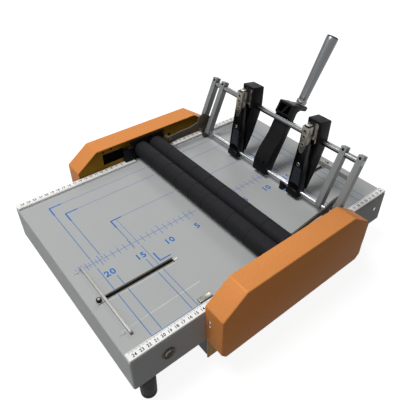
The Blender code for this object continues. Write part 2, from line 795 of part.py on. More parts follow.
def side_cover(name, rim, depth, outward):
    """Folded cover: the outline swept away from the side plate, open toward the plate."""
    rounded = (
        arc(
            (-COVER_FRONT + COVER_CORNER, -COVER_DROP + COVER_CORNER),
            COVER_CORNER, 1.5 * math.pi, math.pi, ARC_POINTS // 2,
        )
        + cover_outline[1:-1]
        + arc((COVER_BACK - COVER_CORNER, -COVER_DROP + COVER_CORNER), COVER_CORNER, 0, -math.pi / 2, ARC_POINTS // 2)
    )
    mesh = outline_mesh(name, [rounded], depth, open_side=outward)
    made = add_solid(name, mesh, paint_copper, (0, rim + outward * depth / 2, 0), (math.pi / 2, 0, 0))
    round_edges(made, COVER_BEND, angle=math.radians(25))
    thicken(made, COVER_WALL)
    return made


side_cover("cover_near", NEAR_PLATE_OUT - SEAT_GAP, NEAR_COVER_DEPTH, -1)
side_cover("cover_far", FAR_PLATE_OUT + SEAT_GAP, FAR_COVER_DEPTH, 1)

# Chassis pan: a floor and two end walls between the plates
pan_front = plate_outline[0][0] + PAN_INSET
pan_back = plate_outline[-1][0] - PAN_INSET
pan_mesh = box_mesh(
    "chassis_pan",
    (pan_front, NEAR_PLATE_IN + SEAT_GAP, -PLATE_FOOT),
    (pan_back, FAR_PLATE_IN - SEAT_GAP, -SKIRT_DEPTH - SEAT_GAP),
    open_faces=((0, 0, 1), (0, 1, 0), (0, -1, 0)),
)
thicken(add_solid("chassis_pan", pan_mesh, paint_black), PAN_SHEET)
PAN_FLOOR = -PLATE_FOOT + PAN_SHEET

# Folding rollers, their shafts and gears
for hand, axis, side in (("front", front_axis, -1), ("rear", rear_axis, 1)):
    across(
        "roller_" + hand + "_sleeve",
        sleeve_profile(
            ROLLER_RADIUS,
            SHAFT_RADIUS + SEAT_GAP,
            -TABLE_NEAR + ROLLER_END_INSET,
            TABLE_FAR - ROLLER_END_INSET,
            ROLLER_CORNER,
        ),
        rubber,
        side * ROLLER_OUT,
        ROLLER_LIFT,
        axis,
        closed=True,
    )
    across(
        "roller_" + hand + "_shaft",
        rod_profile(
            SHAFT_RADIUS, NEAR_PLATE_OUT - NEAR_SHAFT_REACH, FAR_PLATE_OUT + FAR_SHAFT_REACH, SHAFT_CORNER
        ),
        steel,
        side * ROLLER_OUT,
        ROLLER_LIFT,
        axis,
        steps=SMALL_STEPS,
    )

gear_y = NEAR_PLATE_OUT - GEAR_STANDOFF - GEAR_WIDTH / 2
drive_direction = math.atan2(DRIVE_Z - ROLLER_LIFT, DRIVE_X + ROLLER_OUT)
front_phase = 0.0
side_piece(
    "gear_front",
    [gear_outline(ROLLER_TEETH, GEAR_MODULE, front_phase), circle((0, 0), SHAFT_RADIUS + SEAT_GAP)],
    GEAR_WIDTH,
    gear_y,
    acetal,
    front_axis,
    place=(-ROLLER_OUT, ROLLER_LIFT),
)
side_piece(
    "gear_rear",
    [
        gear_outline(ROLLER_TEETH, GEAR_MODULE, meshed_phase(front_phase, ROLLER_TEETH, 0.0, ROLLER_TEETH)),
        circle((0, 0), SHAFT_RADIUS + SEAT_GAP),
    ],
    GEAR_WIDTH,
    gear_y,
    acetal,
    rear_axis,
    place=(ROLLER_OUT, ROLLER_LIFT),
)
gear_drive = side_piece(
    "gear_drive",
    [gear_outline(DRIVE_TEETH, GEAR_MODULE, meshed_phase(front_phase, ROLLER_TEETH, drive_direction, DRIVE_TEETH))],
    GEAR_WIDTH,
    gear_y,
    acetal,
    drive_axis,
    place=(DRIVE_X, DRIVE_Z),
)
motor_face = NEAR_PLATE_IN + SEAT_GAP
shaft_end = motor_face - MOTOR_NOSE_LENGTH - SEAT_GAP
carve(
    gear_drive,
    across(
        "drive_hub",
        rod_profile(DRIVE_HUB_RADIUS, gear_y - GEAR_WIDTH / 2 - CUT_OVERRUN, shaft_end, 0),
        None,
        DRIVE_X,
        DRIVE_Z,
        drive_axis,
        steps=SMALL_STEPS,
    ),
    "UNION",
)

# Gear motor on the inside of the near plate, its nose in the plate's bore
across(
    "drive_motor",
    [
        (0, motor_face + GEARBOX_LENGTH + MOTOR_LENGTH),
        (MOTOR_RADIUS - MOTOR_CORNER, motor_face + GEARBOX_LENGTH + MOTOR_LENGTH),
        (MOTOR_RADIUS, motor_face + GEARBOX_LENGTH + MOTOR_LENGTH - MOTOR_CORNER),
        (MOTOR_RADIUS, motor_face + GEARBOX_LENGTH),
        (GEARBOX_RADIUS, motor_face + GEARBOX_LENGTH),
        (GEARBOX_RADIUS, motor_face),
        (MOTOR_NOSE_RADIUS, motor_face),
        (MOTOR_NOSE_RADIUS, motor_face - MOTOR_NOSE_LENGTH),
        (0, motor_face - MOTOR_NOSE_LENGTH),
    ],
    steel,
    DRIVE_X,
    DRIVE_Z,
)

# Fold knife: blade, carrier with its rack, two guide rods, lift pinion and motor
blade_mesh = box_mesh(
    "knife_blade",
    (-KNIFE_THICKNESS / 2, -TABLE_NEAR + KNIFE_END_INSET, -CARRIER_TOP + SEAT_GAP),
    (KNIFE_THICKNESS / 2, TABLE_FAR - KNIFE_END_INSET, -KNIFE_REST_DROP),
)
add_solid("knife_blade", blade_mesh, steel, knife_line.location, carrier=knife_line)
guide_places = (
    ("near", -TABLE_NEAR + GUIDE_END_INSET),
    ("far", TABLE_FAR - GUIDE_END_INSET),
)
carrier_mesh = box_mesh(
    "knife_carrier",
    (-CARRIER_LIP, -TABLE_NEAR + KNIFE_END_INSET, -CARRIER_TOP - CARRIER_THICKNESS),
    (-CARRIER_LIP + CARRIER_WIDTH, TABLE_FAR - KNIFE_END_INSET, -CARRIER_TOP),
)
knife_carrier = add_solid("knife_carrier", carrier_mesh, steel, knife_line.location, carrier=knife_line)
for end, place_y in guide_places:
    carve(
        knife_carrier,
        turned(
            "guide_bore_" + end,
            rod_profile(
                GUIDE_RADIUS + RUN_GAP, -CARRIER_TOP - CARRIER_THICKNESS - CUT_OVERRUN, -CARRIER_TOP + CUT_OVERRUN, 0
            ),
            None,
            (GUIDE_OFFSET, place_y, 0),
            carrier=knife_line,
            steps=SMALL_STEPS,
        ),
    )
    turned(
        "knife_guide_" + end,
        [
            (0, -GUIDE_TOP),
            (GUIDE_RADIUS - SHAFT_CORNER, -GUIDE_TOP),
            (GUIDE_RADIUS, -GUIDE_TOP - SHAFT_CORNER),
            (GUIDE_RADIUS, PAN_FLOOR + SEAT_GAP + GUIDE_FLANGE_THICKNESS),
            (GUIDE_FLANGE_RADIUS, PAN_FLOOR + SEAT_GAP + GUIDE_FLANGE_THICKNESS),
            (GUIDE_FLANGE_RADIUS, PAN_FLOOR + SEAT_GAP),
            (0, PAN_FLOOR + SEAT_GAP),
        ],
        steel,
        (GUIDE_OFFSET, place_y, 0),
        steps=SMALL_STEPS,
    )


def rack_outline():
    """Rack with its teeth toward +x; a gap faces the pinion's tooth at rest."""
    pitch = math.pi * LIFT_MODULE
    half = pitch / 4 - BACKLASH / 2
    slope = math.tan(PRESSURE_ANGLE)
    tip = RACK_LINE + LIFT_MODULE
    root = RACK_LINE - 1.25 * LIFT_MODULE
    top = -CARRIER_TOP - CARRIER_THICKNESS + LIFT_MODULE
    low = -PINION_DROP - KNIFE_TRAVEL - pitch
    points = [(root - RACK_BODY, top), (root, top)]
    count = math.ceil((top - low) / pitch) + 1
    for step in range(count):
        middle = top - pitch * (step + 1)
        middle = -PINION_DROP + (round((middle + PINION_DROP) / pitch - 0.5) + 0.5) * pitch
        if middle + pitch / 2 > top - LIFT_MODULE or middle - pitch / 2 < low:
            continue
        points += [
            (root, middle + half + 1.25 * LIFT_MODULE * slope),
            (tip, middle + half - LIFT_MODULE * slope),
            (tip, middle - half + LIFT_MODULE * slope),
            (root, middle - half - 1.25 * LIFT_MODULE * slope),
        ]
    return points + [(root, low), (root - RACK_BODY, low)]


rack = side_piece("knife_rack", [rack_outline()], RACK_WIDTH, RACK_CENTRE, None, knife_line)
carve(knife_carrier, rack, "UNION")
pinion = side_piece(
    "knife_pinion",
    [gear_outline(LIFT_TEETH, LIFT_MODULE, math.pi)],
    RACK_WIDTH,
    RACK_CENTRE,
    steel,
    pinion_axis,
    place=(PINION_X, -PINION_DROP),
)
lift_face = RACK_CENTRE + RACK_WIDTH / 2 + GUIDE_FLANGE_THICKNESS
carve(
    pinion,
    turned(
        "pinion_shaft",
        rod_profile(PINION_SHAFT_RADIUS, RACK_CENTRE - RACK_WIDTH / 2 - CUT_OVERRUN, lift_face - SEAT_GAP, 0),
        None,
        (PINION_X, 0, -PINION_DROP),
        (-math.pi / 2, 0, 0),
        pinion_axis,
        SMALL_STEPS,
    ),
    "UNION",
)
lift_motor = across(
    "knife_motor",
    rod_profile(LIFT_MOTOR_RADIUS, lift_face, lift_face + LIFT_MOTOR_LENGTH, MOTOR_CORNER),
    steel,
    PINION_X,
    -PINION_DROP,
    steps=SMALL_STEPS,
)
carve(
    lift_motor,
    box_cutter(
        "knife_motor_foot",
        (PINION_X - LIFT_MOTOR_FOOT_WIDTH / 2, lift_face + MOTOR_CORNER, PAN_FLOOR + SEAT_GAP),
        (PINION_X + LIFT_MOTOR_FOOT_WIDTH / 2, lift_face + LIFT_MOTOR_LENGTH - MOTOR_CORNER, -PINION_DROP),
    ),
    "UNION",
)

# Controller on the pan's floor
box_low = PAN_FLOOR + SEAT_GAP
controller_mesh = box_mesh(
    "control_box",
    (-BOX_FRONT, BOX_NEAR, box_low),
    (-BOX_FRONT + BOX_LENGTH, BOX_NEAR + BOX_WIDTH, box_low + BOX_HEIGHT),
)
round_edges(add_solid("control_box", controller_mesh, plastic_black), BOX_CORNER, segments=1)

# Mains inlet with its rocker, in the far skirt of the right table
inlet_face = TABLE_FAR + SEAT_GAP + INLET_FLANGE
flange_mesh = box_mesh(
    "power_inlet",
    (
        INLET_CENTRE - INLET_LENGTH / 2 - INLET_FLANGE_MARGIN,
        TABLE_FAR + SEAT_GAP,
        -INLET_DROP - INLET_HEIGHT / 2 - INLET_FLANGE_MARGIN,
    ),
    (
        INLET_CENTRE + INLET_LENGTH / 2 + INLET_FLANGE_MARGIN,
        inlet_face,
        -INLET_DROP + INLET_HEIGHT / 2 + INLET_FLANGE_MARGIN,
    ),
)
inlet = add_solid("power_inlet", flange_mesh, plastic_black)
carve(
    inlet,
    box_cutter(
        "inlet_body",
        (INLET_CENTRE - INLET_LENGTH / 2, TABLE_FAR - INLET_BODY_DEPTH, -INLET_DROP - INLET_HEIGHT / 2),
        (INLET_CENTRE + INLET_LENGTH / 2, TABLE_FAR + SEAT_GAP * 2, -INLET_DROP + INLET_HEIGHT / 2),
    ),
    "UNION",
)
recess_x = INLET_CENTRE + INLET_RECESS_OFFSET
carve(
    inlet,
    box_cutter(
        "inlet_recess",
        (recess_x - INLET_RECESS_LENGTH / 2, inlet_face - INLET_RECESS_DEPTH, -INLET_DROP - INLET_RECESS_HEIGHT / 2),
        (recess_x + INLET_RECESS_LENGTH / 2, inlet_face + CUT_OVERRUN, -INLET_DROP + INLET_RECESS_HEIGHT / 2),
    ),
)
rocker_x = INLET_CENTRE - ROCKER_OFFSET
rocker_axis = new_empty(
    "rocker_axis", (rocker_x, inlet_face + ROCKER_PROUD - ROCKER_DEPTH / 2, -INLET_DROP), machine
)
carve(
    inlet,
    box_cutter(
        "rocker_pocket",
        (
            rocker_x - ROCKER_LENGTH / 2 - SLIDE_GAP,
            inlet_face + ROCKER_PROUD - ROCKER_DEPTH - ROCKER_GAP * 2,
            -INLET_DROP - ROCKER_HEIGHT / 2 - ROCKER_GAP,
        ),
        (
            rocker_x + ROCKER_LENGTH / 2 + SLIDE_GAP,
            inlet_face + CUT_OVERRUN,
            -INLET_DROP + ROCKER_HEIGHT / 2 + ROCKER_GAP,
        ),
    ),
)
rocker_mesh = box_mesh(
    "power_rocker",
    (-ROCKER_LENGTH / 2, -ROCKER_DEPTH / 2, -ROCKER_HEIGHT / 2),
    (ROCKER_LENGTH / 2, ROCKER_DEPTH / 2, ROCKER_HEIGHT / 2),
)
add_solid("power_rocker", rocker_mesh, plastic_black, rocker_axis.location, (ROCKER_TILT, 0, 0), rocker_axis)

# Foot switch socket in the near skirt, its mouth toward the operator
turned(
    "foot_switch_socket",
    [
        (SOCKET_BORE, SOCKET_RIM + SEAT_GAP),
        (SOCKET_RADIUS - SHAFT_CORNER, SOCKET_RIM + SEAT_GAP),
        (SOCKET_RADIUS, SOCKET_RIM + SEAT_GAP - SHAFT_CORNER),
        (SOCKET_RADIUS, SEAT_GAP),
        (SOCKET_BODY_RADIUS, SEAT_GAP),
        (SOCKET_BODY_RADIUS, -SOCKET_BODY_LENGTH),
        (0, -SOCKET_BODY_LENGTH),
        (0, SOCKET_RIM + SEAT_GAP - SOCKET_BORE_DEPTH),
        (SOCKET_BORE, SOCKET_RIM + SEAT_GAP - SOCKET_BORE_DEPTH),
    ],
    chrome,
    (-SOCKET_CENTRE, -TABLE_NEAR, -SOCKET_DROP),
    (math.pi / 2, 0, 0),
    steps=SMALL_STEPS,
    closed=True,
)

# Rails of the swinging frame
across(
    "lower_rail",
    rod_profile(LOWER_RAIL_RADIUS, -TABLE_NEAR + RAIL_END_INSET, TABLE_FAR - RAIL_END_INSET, SHAFT_CORNER),
    chrome,
    HINGE_OUT,
    HINGE_LIFT,
    steps=SMALL_STEPS,
)
upper_x = HINGE_OUT + RAIL_SPAN * math.sin(FRAME_LEAN)
upper_z = HINGE_LIFT + RAIL_SPAN * math.cos(FRAME_LEAN)
across(
    "upper_rail",
    rod_profile(UPPER_RAIL_RADIUS, -TABLE_NEAR + UPPER_RAIL_INSET, TABLE_FAR - UPPER_RAIL_INSET / 2, SHAFT_CORNER),
    chrome,
    upper_x,
    upper_z,
    swing_hinge,
)

# Four bar arms between the rails, each clamped on the upper rail
arm_places = (
    TABLE_FAR - ARM_FAR_INSET,
    TABLE_FAR - ARM_FAR_INSET - ARM_FAR_PITCH,
    -TABLE_NEAR + ARM_NEAR_INSET + ARM_NEAR_PITCH,
    -TABLE_NEAR + ARM_NEAR_INSET,
)
arm_outline = arc((0, 0), ARM_DEPTH / 2, math.pi, FULL_TURN) + [
    (ARM_DEPTH / 2, RAIL_SPAN + ARM_TOP),
    (-ARM_DEPTH / 2, RAIL_SPAN + ARM_TOP),
]
for number, place_y in enumerate(arm_places, 1):
    arm = side_piece(
        "arm_" + str(number),
        [
            arm_outline,
            circle((0, 0), LOWER_RAIL_RADIUS + RUN_GAP, SMALL_STEPS),
            circle((0, RAIL_SPAN), UPPER_RAIL_RADIUS + SEAT_GAP),
        ],
        ARM_WIDTH,
        place_y,
        aluminium,
        swing_hinge,
        FRAME_LEAN,
        (HINGE_OUT, HINGE_LIFT),
    )
    screw_hole = turned(
        "arm_screw_hole_" + str(number),
        rod_profile(SET_SCREW_RADIUS, -ARM_DEPTH, -UPPER_RAIL_RADIUS, 0),
        None,
        (upper_x, place_y, upper_z),
        (0, math.pi / 2 + FRAME_LEAN, 0),
        swing_hinge,
        SMALL_STEPS,
    )
    carve(arm, screw_hole)
    slit = box_cutter(
        "arm_slit_" + str(number),
        (-CLAMP_SLIT_WIDTH / 2, place_y - ARM_WIDTH, 0),
        (CLAMP_SLIT_WIDTH / 2, place_y + ARM_WIDTH, CLAMP_SLIT_LENGTH),
        swing_hinge,
    )
    slit.location = Vector((upper_x, 0, upper_z)) - swing_hinge.location
    slit.rotation_euler = (0, FRAME_LEAN, 0)
    carve(arm, slit)


# Long brackets that carry the lower rail, each screwed to its side plate through a boss
def rail_bracket(name, shares, boss_share, outer_arm, plate, inward):
    """Plate with the rail's bore, a foot block on the table under the rail, and the boss to the side plate."""
    upright_y = outer_arm + inward * (ARM_WIDTH / 2 + BRACKET_SPACING + BRACKET_THICKNESS / 2)
    made = side_piece(
        name,
        [scaled(shares, BRACKET_REACH), circle((0, 0), LOWER_RAIL_RADIUS + SEAT_GAP, SMALL_STEPS)],
        BRACKET_THICKNESS,
        upright_y,
        paint_black,
        place=(HINGE_OUT, HINGE_LIFT),
    )
    width = ARM_DEPTH / 2
    reach = sorted((upright_y, upright_y + inward * (BRACKET_THICKNESS / 2 + BRACKET_FOOT)))
    carve(
        made,
        box_cutter(
            name + "_foot",
            (HINGE_OUT - width, reach[0], SEAT_GAP),
            (HINGE_OUT + width, reach[1], HINGE_LIFT - LOWER_RAIL_RADIUS - SEAT_GAP),
        ),
        "UNION",
    )
    ends = sorted((upright_y, plate + inward * SEAT_GAP))
    carve(
        made,
        across(
            name + "_boss",
            rod_profile(BRACKET_BOSS_RADIUS, ends[0], ends[1], 0),
            None,
            HINGE_OUT - boss_reach_share * BRACKET_REACH,
            HINGE_LIFT + boss_share * BRACKET_REACH,
            steps=SMALL_STEPS,
        ),
        "UNION",
    )
    return made


rail_bracket("rail_bracket_near", near_bracket_shares, near_boss_share, arm_places[3], NEAR_PLATE_IN, 1)
rail_bracket("rail_bracket_far", far_bracket_shares, far_boss_share, arm_places[0], FAR_PLATE_IN, -1)

# Cast handle arm: body with an open notch on the upper rail, a hollow head and a lug
notch_radius = UPPER_RAIL_RADIUS + SEAT_GAP
front_high = arm_front_high_share * RAIL_SPAN
notch_rise = math.sqrt(notch_radius**2 - front_high**2)
notch_angle = math.atan2(notch_rise, front_high)
arm_body = (
    scaled(arm_front_shares, RAIL_SPAN)
    + moved(arc((0, 0), notch_radius, -notch_angle, notch_angle), (0, RAIL_SPAN))
    + scaled(arm_head_shares + arm_back_shares, RAIL_SPAN)
)
handle_arm = side_piece(
    "handle_arm",
    [arm_body, circle((0, 0), LOWER_RAIL_RADIUS + RUN_GAP, SMALL_STEPS)],
    HANDLE_ARM_WIDTH,
    HANDLE_ARM_CENTRE,
    paint_black,
    swing_hinge,
    FRAME_LEAN,
    (HINGE_OUT, HINGE_LIFT),
)
carve(
    handle_arm,
    side_piece(
        "handle_arm_lug",
        [scaled(lug_shares, RAIL_SPAN)],
        LUG_WIDTH,
        HANDLE_ARM_CENTRE,
        None,
        swing_hinge,
        FRAME_LEAN,
        (HINGE_OUT, HINGE_LIFT),
    ),
    "UNION",
)
carve(
    handle_arm,
    side_piece(
        "handle_arm_pocket",
        [scaled(head_pocket_shares, RAIL_SPAN)],
        HANDLE_ARM_WIDTH - 2 * HANDLE_ARM_WALL,
        HANDLE_ARM_CENTRE,
        None,
        swing_hinge,
        FRAME_LEAN,
        (HINGE_OUT, HINGE_LIFT),
    ),
)


def in_frame(across_x, along_z):
    """A point of the leaning frame in the working frame."""
    turn = Matrix.Rotation(FRAME_LEAN, 3, "Y")
    return turn @ Vector((across_x, 0, along_z)) + swing_hinge.location


# Handle: hexagon nut on the lug, then the tapered chrome tube
seat = in_frame(HANDLE_SEAT, lug_shares[0][1] * RAIL_SPAN)
seat.y = HANDLE_ARM_CENTRE
handle_turn = (0, FRAME_LEAN + HANDLE_TILT, 0)
tilt_lift = NUT_RADIUS * math.sin(HANDLE_TILT) + SEAT_GAP
turned(
    "handle_nut",
    rod_profile(NUT_RADIUS, tilt_lift, tilt_lift + NUT_HEIGHT, NUT_CORNER),
    chrome,
    seat,
    handle_turn,
    swing_hinge,
    NUT_SIDES,
)
tube_low = tilt_lift + NUT_HEIGHT + SEAT_GAP
turned(
    "handle_tube",
    [
        (0, tube_low + HANDLE_LENGTH),
        (HANDLE_TIP_RADIUS - HANDLE_CORNER, tube_low + HANDLE_LENGTH),
        (HANDLE_TIP_RADIUS, tube_low + HANDLE_LENGTH - HANDLE_CORNER),
        (HANDLE_BASE_RADIUS, tube_low),
        (0, tube_low),
    ],
    chrome,
    seat,
    handle_turn,
    swing_hinge,
    SMALL_STEPS,
)


# Staplers
def stapler(name, centre_y):
    """Black cover on the upper rail, nickel channel inside it, and the sprung magazine with its nose."""
    hinge = (HINGE_OUT, HINGE_LIFT)
    magazine_hinge = new_empty(name + "_magazine_hinge", (HINGE_OUT, centre_y, HINGE_LIFT), machine)
    rail_bore = circle(
        (RAIL_SPAN * math.sin(FRAME_LEAN), RAIL_SPAN * math.cos(FRAME_LEAN)), UPPER_RAIL_RADIUS + SEAT_GAP
    )
    cover = side_piece(
        name + "_cover",
        [scaled(cover_profile_shares, STAPLER_HEIGHT)],
        STAPLER_WIDTH,
        centre_y,
        plastic_black,
        swing_hinge,
        place=hinge,
    )
    round_edges(cover, STAPLER_CORNER, segments=1, angle=math.radians(60))
    inner = STAPLER_WIDTH - 2 * STAPLER_WALL
    pocket = side_piece(
        name + "_pocket", [scaled(cover_pocket_shares, STAPLER_HEIGHT)], inner, centre_y, None, swing_hinge, place=hinge
    )
    carve(cover, pocket)
    notch = arc((0, 0), LOWER_RAIL_RADIUS + RUN_GAP, -math.pi * 0.42, math.pi * 0.42)
    foot_front = notch[0][0]
    foot = (
        [(foot_front, cover_foot_shares[-1][1] * STAPLER_HEIGHT)]
        + notch
        + [(foot_front, -cover_foot_shares[-1][1] * STAPLER_HEIGHT)]
        + scaled(cover_foot_shares[:-1], STAPLER_HEIGHT)
    )
    carve(
        cover,
        side_piece(name + "_foot", [foot], FOOT_WIDTH, centre_y, None, swing_hinge, place=hinge),
        "UNION",
    )
    carve(
        cover,
        side_piece(
            name + "_rail_bore", [rail_bore], STAPLER_WIDTH + 2 * CUT_OVERRUN, centre_y, None, swing_hinge, place=hinge
        ),
    )

    channel_width = inner - 2 * SEAT_GAP
    channel = side_piece(
        name + "_channel",
        [scaled(channel_shares, STAPLER_HEIGHT)],
        channel_width,
        centre_y,
        nickel,
        swing_hinge,
        place=hinge,
    )
    carve(
        channel,
        side_piece(
            name + "_channel_gap",
            [moved(scaled(channel_shares, STAPLER_HEIGHT), (-CHANNEL_WEB, 0))],
            channel_width - 2 * CHANNEL_SHEET,
            centre_y,
            None,
            swing_hinge,
            place=hinge,
        ),
    )

    # The magazine's front view, extruded front to back and leaned about the hinge
    half = MAGAZINE_WIDTH / 2
    neck = NOSE_WIDTH / 2 + SEAT_GAP
    front_view = [
        (-half, -MAGAZINE_FOOT),
        (-half, MAGAZINE_WAIST),
        (-neck, MAGAZINE_NECK),
        (-neck, MAGAZINE_TOP),
        (neck, MAGAZINE_TOP),
        (neck, MAGAZINE_NECK),
        (half, MAGAZINE_WAIST),
        (half, -MAGAZINE_FOOT),
    ]
    facing = (math.pi / 2, 0, math.pi / 2)
    depth = MAGAZINE_FACE + MAGAZINE_REAR
    magazine = leaning_piece(
        name + "_magazine", [front_view], depth, -MAGAZINE_FACE + depth / 2, paint_black, magazine_hinge, facing
    )
    carve(
        magazine,
        leaning_piece(
            name + "_magazine_pocket",
            [inset_outline(front_view, MAGAZINE_WALL)],
            depth,
            -MAGAZINE_FACE + depth / 2 + MAGAZINE_WALL,
            None,
            magazine_hinge,
            facing,
        ),
    )
    base_view = [(-half, -MAGAZINE_FOOT), (-half, MAGAZINE_BASE_TOP), (half, MAGAZINE_BASE_TOP), (half, -MAGAZINE_FOOT)]
    base_depth = MAGAZINE_BASE_PROUD + MAGAZINE_WALL / 2
    base_middle = -MAGAZINE_FACE - MAGAZINE_BASE_PROUD + base_depth / 2
    carve(
        magazine,
        leaning_piece(name + "_magazine_base", [base_view], base_depth, base_middle, None, magazine_hinge, facing),
        "UNION",
    )
    carve(
        magazine,
        across(
            name + "_magazine_bore",
            rod_profile(LOWER_RAIL_RADIUS + RUN_GAP, centre_y - STAPLER_WIDTH, centre_y + STAPLER_WIDTH, 0),
            None,
            HINGE_OUT,
            HINGE_LIFT,
            magazine_hinge,
            SMALL_STEPS,
        ),
    )
    nose_view = [
        (-NOSE_WIDTH / 2, MAGAZINE_TOP + SEAT_GAP),
        (-NOSE_WIDTH / 2, NOSE_TOP),
        (NOSE_WIDTH / 2, NOSE_TOP),
        (NOSE_WIDTH / 2, MAGAZINE_TOP + SEAT_GAP),
    ]
    rivets = [circle((0, share * STAPLER_HEIGHT), RIVET_RADIUS, ARC_POINTS) for share in rivet_height_shares]
    nose_depth = MAGAZINE_FACE + NOSE_REAR
    nose = leaning_piece(
        name + "_nose", [nose_view, *rivets], nose_depth, -MAGAZINE_FACE + nose_depth / 2, nickel, magazine_hinge, facing
    )
    carve(
        nose,
        leaning_piece(
            name + "_nose_gap",
            [inset_outline(nose_view, NOSE_SHEET)],
            nose_depth,
            -MAGAZINE_FACE + nose_depth / 2 + NOSE_SHEET,
            None,
            magazine_hinge,
            facing,
        ),
    )


def leaning_piece(name, loops, depth, middle, material, carrier, facing):
    """A front view in the y-z plane, extruded along x about middle and leaned about its hinge."""
    mesh = outline_mesh(name, loops, depth)
    mesh.transform(Matrix.Rotation(facing[2], 4, "Z") @ Matrix.Rotation(facing[0], 4, "X"))
    mesh.transform(Matrix.Translation((middle, 0, 0)))
    return add_solid(name, mesh, material, carrier.location, (0, MAGAZINE_LEAN, 0), carrier)


stapler("stapler_near", -NEAR_STAPLER_CENTRE)
stapler("stapler_far", FAR_STAPLER_CENTRE)


# Paper stops: bar with its clamp lug, slider under the table, and knob
def paper_stop(name, line, side, reach, width, height):
    bar_mesh = box_mesh(name + "_bar", (-width / 2, -reach, SEAT_GAP), (width / 2, reach, SEAT_GAP + height))
    bar = add_solid(name + "_bar", bar_mesh, steel, line.location, carrier=line)
    stem_x = side * CLAMP_OFFSET
    lug_ends = sorted((0, stem_x + side * CLAMP_LUG_END))
    carve(
        bar,
        box_cutter(
            name + "_lug",
            (lug_ends[0], -CLAMP_LUG_WIDTH / 2, SEAT_GAP),
            (lug_ends[1], CLAMP_LUG_WIDTH / 2, SEAT_GAP + CLAMP_LUG_THICKNESS),
            line,
        ),
        "UNION",
    )
    hole_place = Vector((stem_x, 0, 0)) + line.location
    carve(
        bar,
        turned(
            name + "_lug_hole",
            rod_profile(STEM_RADIUS + SEAT_GAP, -CUT_OVERRUN, CLAMP_LUG_THICKNESS + CUT_OVERRUN, 0),
            None,
            hole_place,
            carrier=line,
            steps=SMALL_STEPS,
        ),
    )
    under = -TABLE_SHEET - SEAT_GAP
    slider_mesh = box_mesh(
        name + "_slider",
        (stem_x - SLIDER_LENGTH / 2, -SLIDER_WIDTH / 2, under - SLIDER_THICKNESS),
        (stem_x + SLIDER_LENGTH / 2, SLIDER_WIDTH / 2, under),
    )
    slider = add_solid(name + "_slider", slider_mesh, steel, line.location, carrier=line)
    carve(
        slider,
        turned(
            name + "_stem",
            rod_profile(STEM_RADIUS, under - SLIDER_THICKNESS / 2, STEM_TOP, 0),
            None,
            hole_place,
            carrier=line,
            steps=SMALL_STEPS,
        ),
        "UNION",
    )
    knob_low = CLAMP_LUG_THICKNESS + 2 * SEAT_GAP
    turned(
        name + "_knob",
        sleeve_profile(KNOB_RADIUS, STEM_RADIUS + SEAT_GAP, knob_low, knob_low + KNOB_HEIGHT, KNOB_CORNER),
        chrome,
        hole_place,
        carrier=line,
        steps=SMALL_STEPS,
        closed=True,
    )


paper_stop("stop_left", left_stop_line, -1, LEFT_STOP_REACH, LEFT_BAR_WIDTH, LEFT_BAR_HEIGHT)
paper_stop("stop_right", right_stop_line, 1, RIGHT_STOP_REACH, RIGHT_BAR_WIDTH, RIGHT_BAR_HEIGHT)

# Guide tab on the left table beside the near cover
tab_mesh = box_mesh(
    "guide_tab",
    (-TAB_CENTRE - TAB_LENGTH / 2, -TAB_EDGE - TAB_WIDTH, SEAT_GAP),
    (-TAB_CENTRE + TAB_LENGTH / 2, -TAB_EDGE, SEAT_GAP + TAB_THICKNESS),
)
round_edges(add_solid("guide_tab", tab_mesh, steel), RULER_BEVEL, segments=1)

# Rubber feet, each on a post up to the table's underside
foot_profile = [
    (0, -TABLE_SHEET - SEAT_GAP),
    (FOOT_POST_RADIUS, -TABLE_SHEET - SEAT_GAP),
    (FOOT_POST_RADIUS, -FOOT_HEAD),
    (FOOT_RADIUS, -FOOT_HEAD),
    (FOOT_TIP_RADIUS, -DESK_DROP + FOOT_TIP_CORNER),
    (FOOT_TIP_RADIUS - FOOT_TIP_CORNER, -DESK_DROP),
    (0, -DESK_DROP),
]
for row, place_y in (("near", -TABLE_NEAR + NEAR_FOOT_INSET), ("far", TABLE_FAR - FAR_FOOT_INSET)):
    for hand, side in (("left", -1), ("right", 1)):
        turned("foot_" + row + "_" + hand, foot_profile, rubber, (side * FOOT_OUT, place_y, 0), steps=SMALL_STEPS)


def set_down():
    """Moves the machine so that the middle of its box's underside is the origin."""
    bpy.context.view_layer.update()
    view = bpy.context.evaluated_depsgraph_get()
    low = Vector((math.inf,) * 3)
    high = -low
    for piece in parts.objects:
        if piece.type != "MESH":
            continue
        shape = piece.evaluated_get(view)
        for vertex in shape.data.vertices:
            place = shape.matrix_world @ vertex.co
            low = Vector(map(min, low, place))
            high = Vector(map(max, high, place))
    machine.location = (-(low.x + high.x) / 2, -(low.y + high.y) / 2, -low.z)
    print("working frame origin in the row frame, mm:", [round(v / MM, 3) for v in machine.location])
    print("box, mm:", [round(v / MM, 2) for v in high - low])


for piece in parts.objects:
    if piece.type == "MESH":
        shade(piece)
set_down()
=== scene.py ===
# %% [markdown]
# # Dressing an electric booklet maker
#
# The real machine is a grey steel table with printed paper sizes. Two rubber rollers cross it between
# two folded copper-coloured covers, and two staplers stand on a leaning frame with a long chrome
# handle. The imported CAD model gives every solid its place. This lesson keeps the plain solids that are
# right, gives them real finishes, and models the pieces whose detail matters.

# %% Load the imported model
import math

import bpy
from mathutils import Matrix, Vector


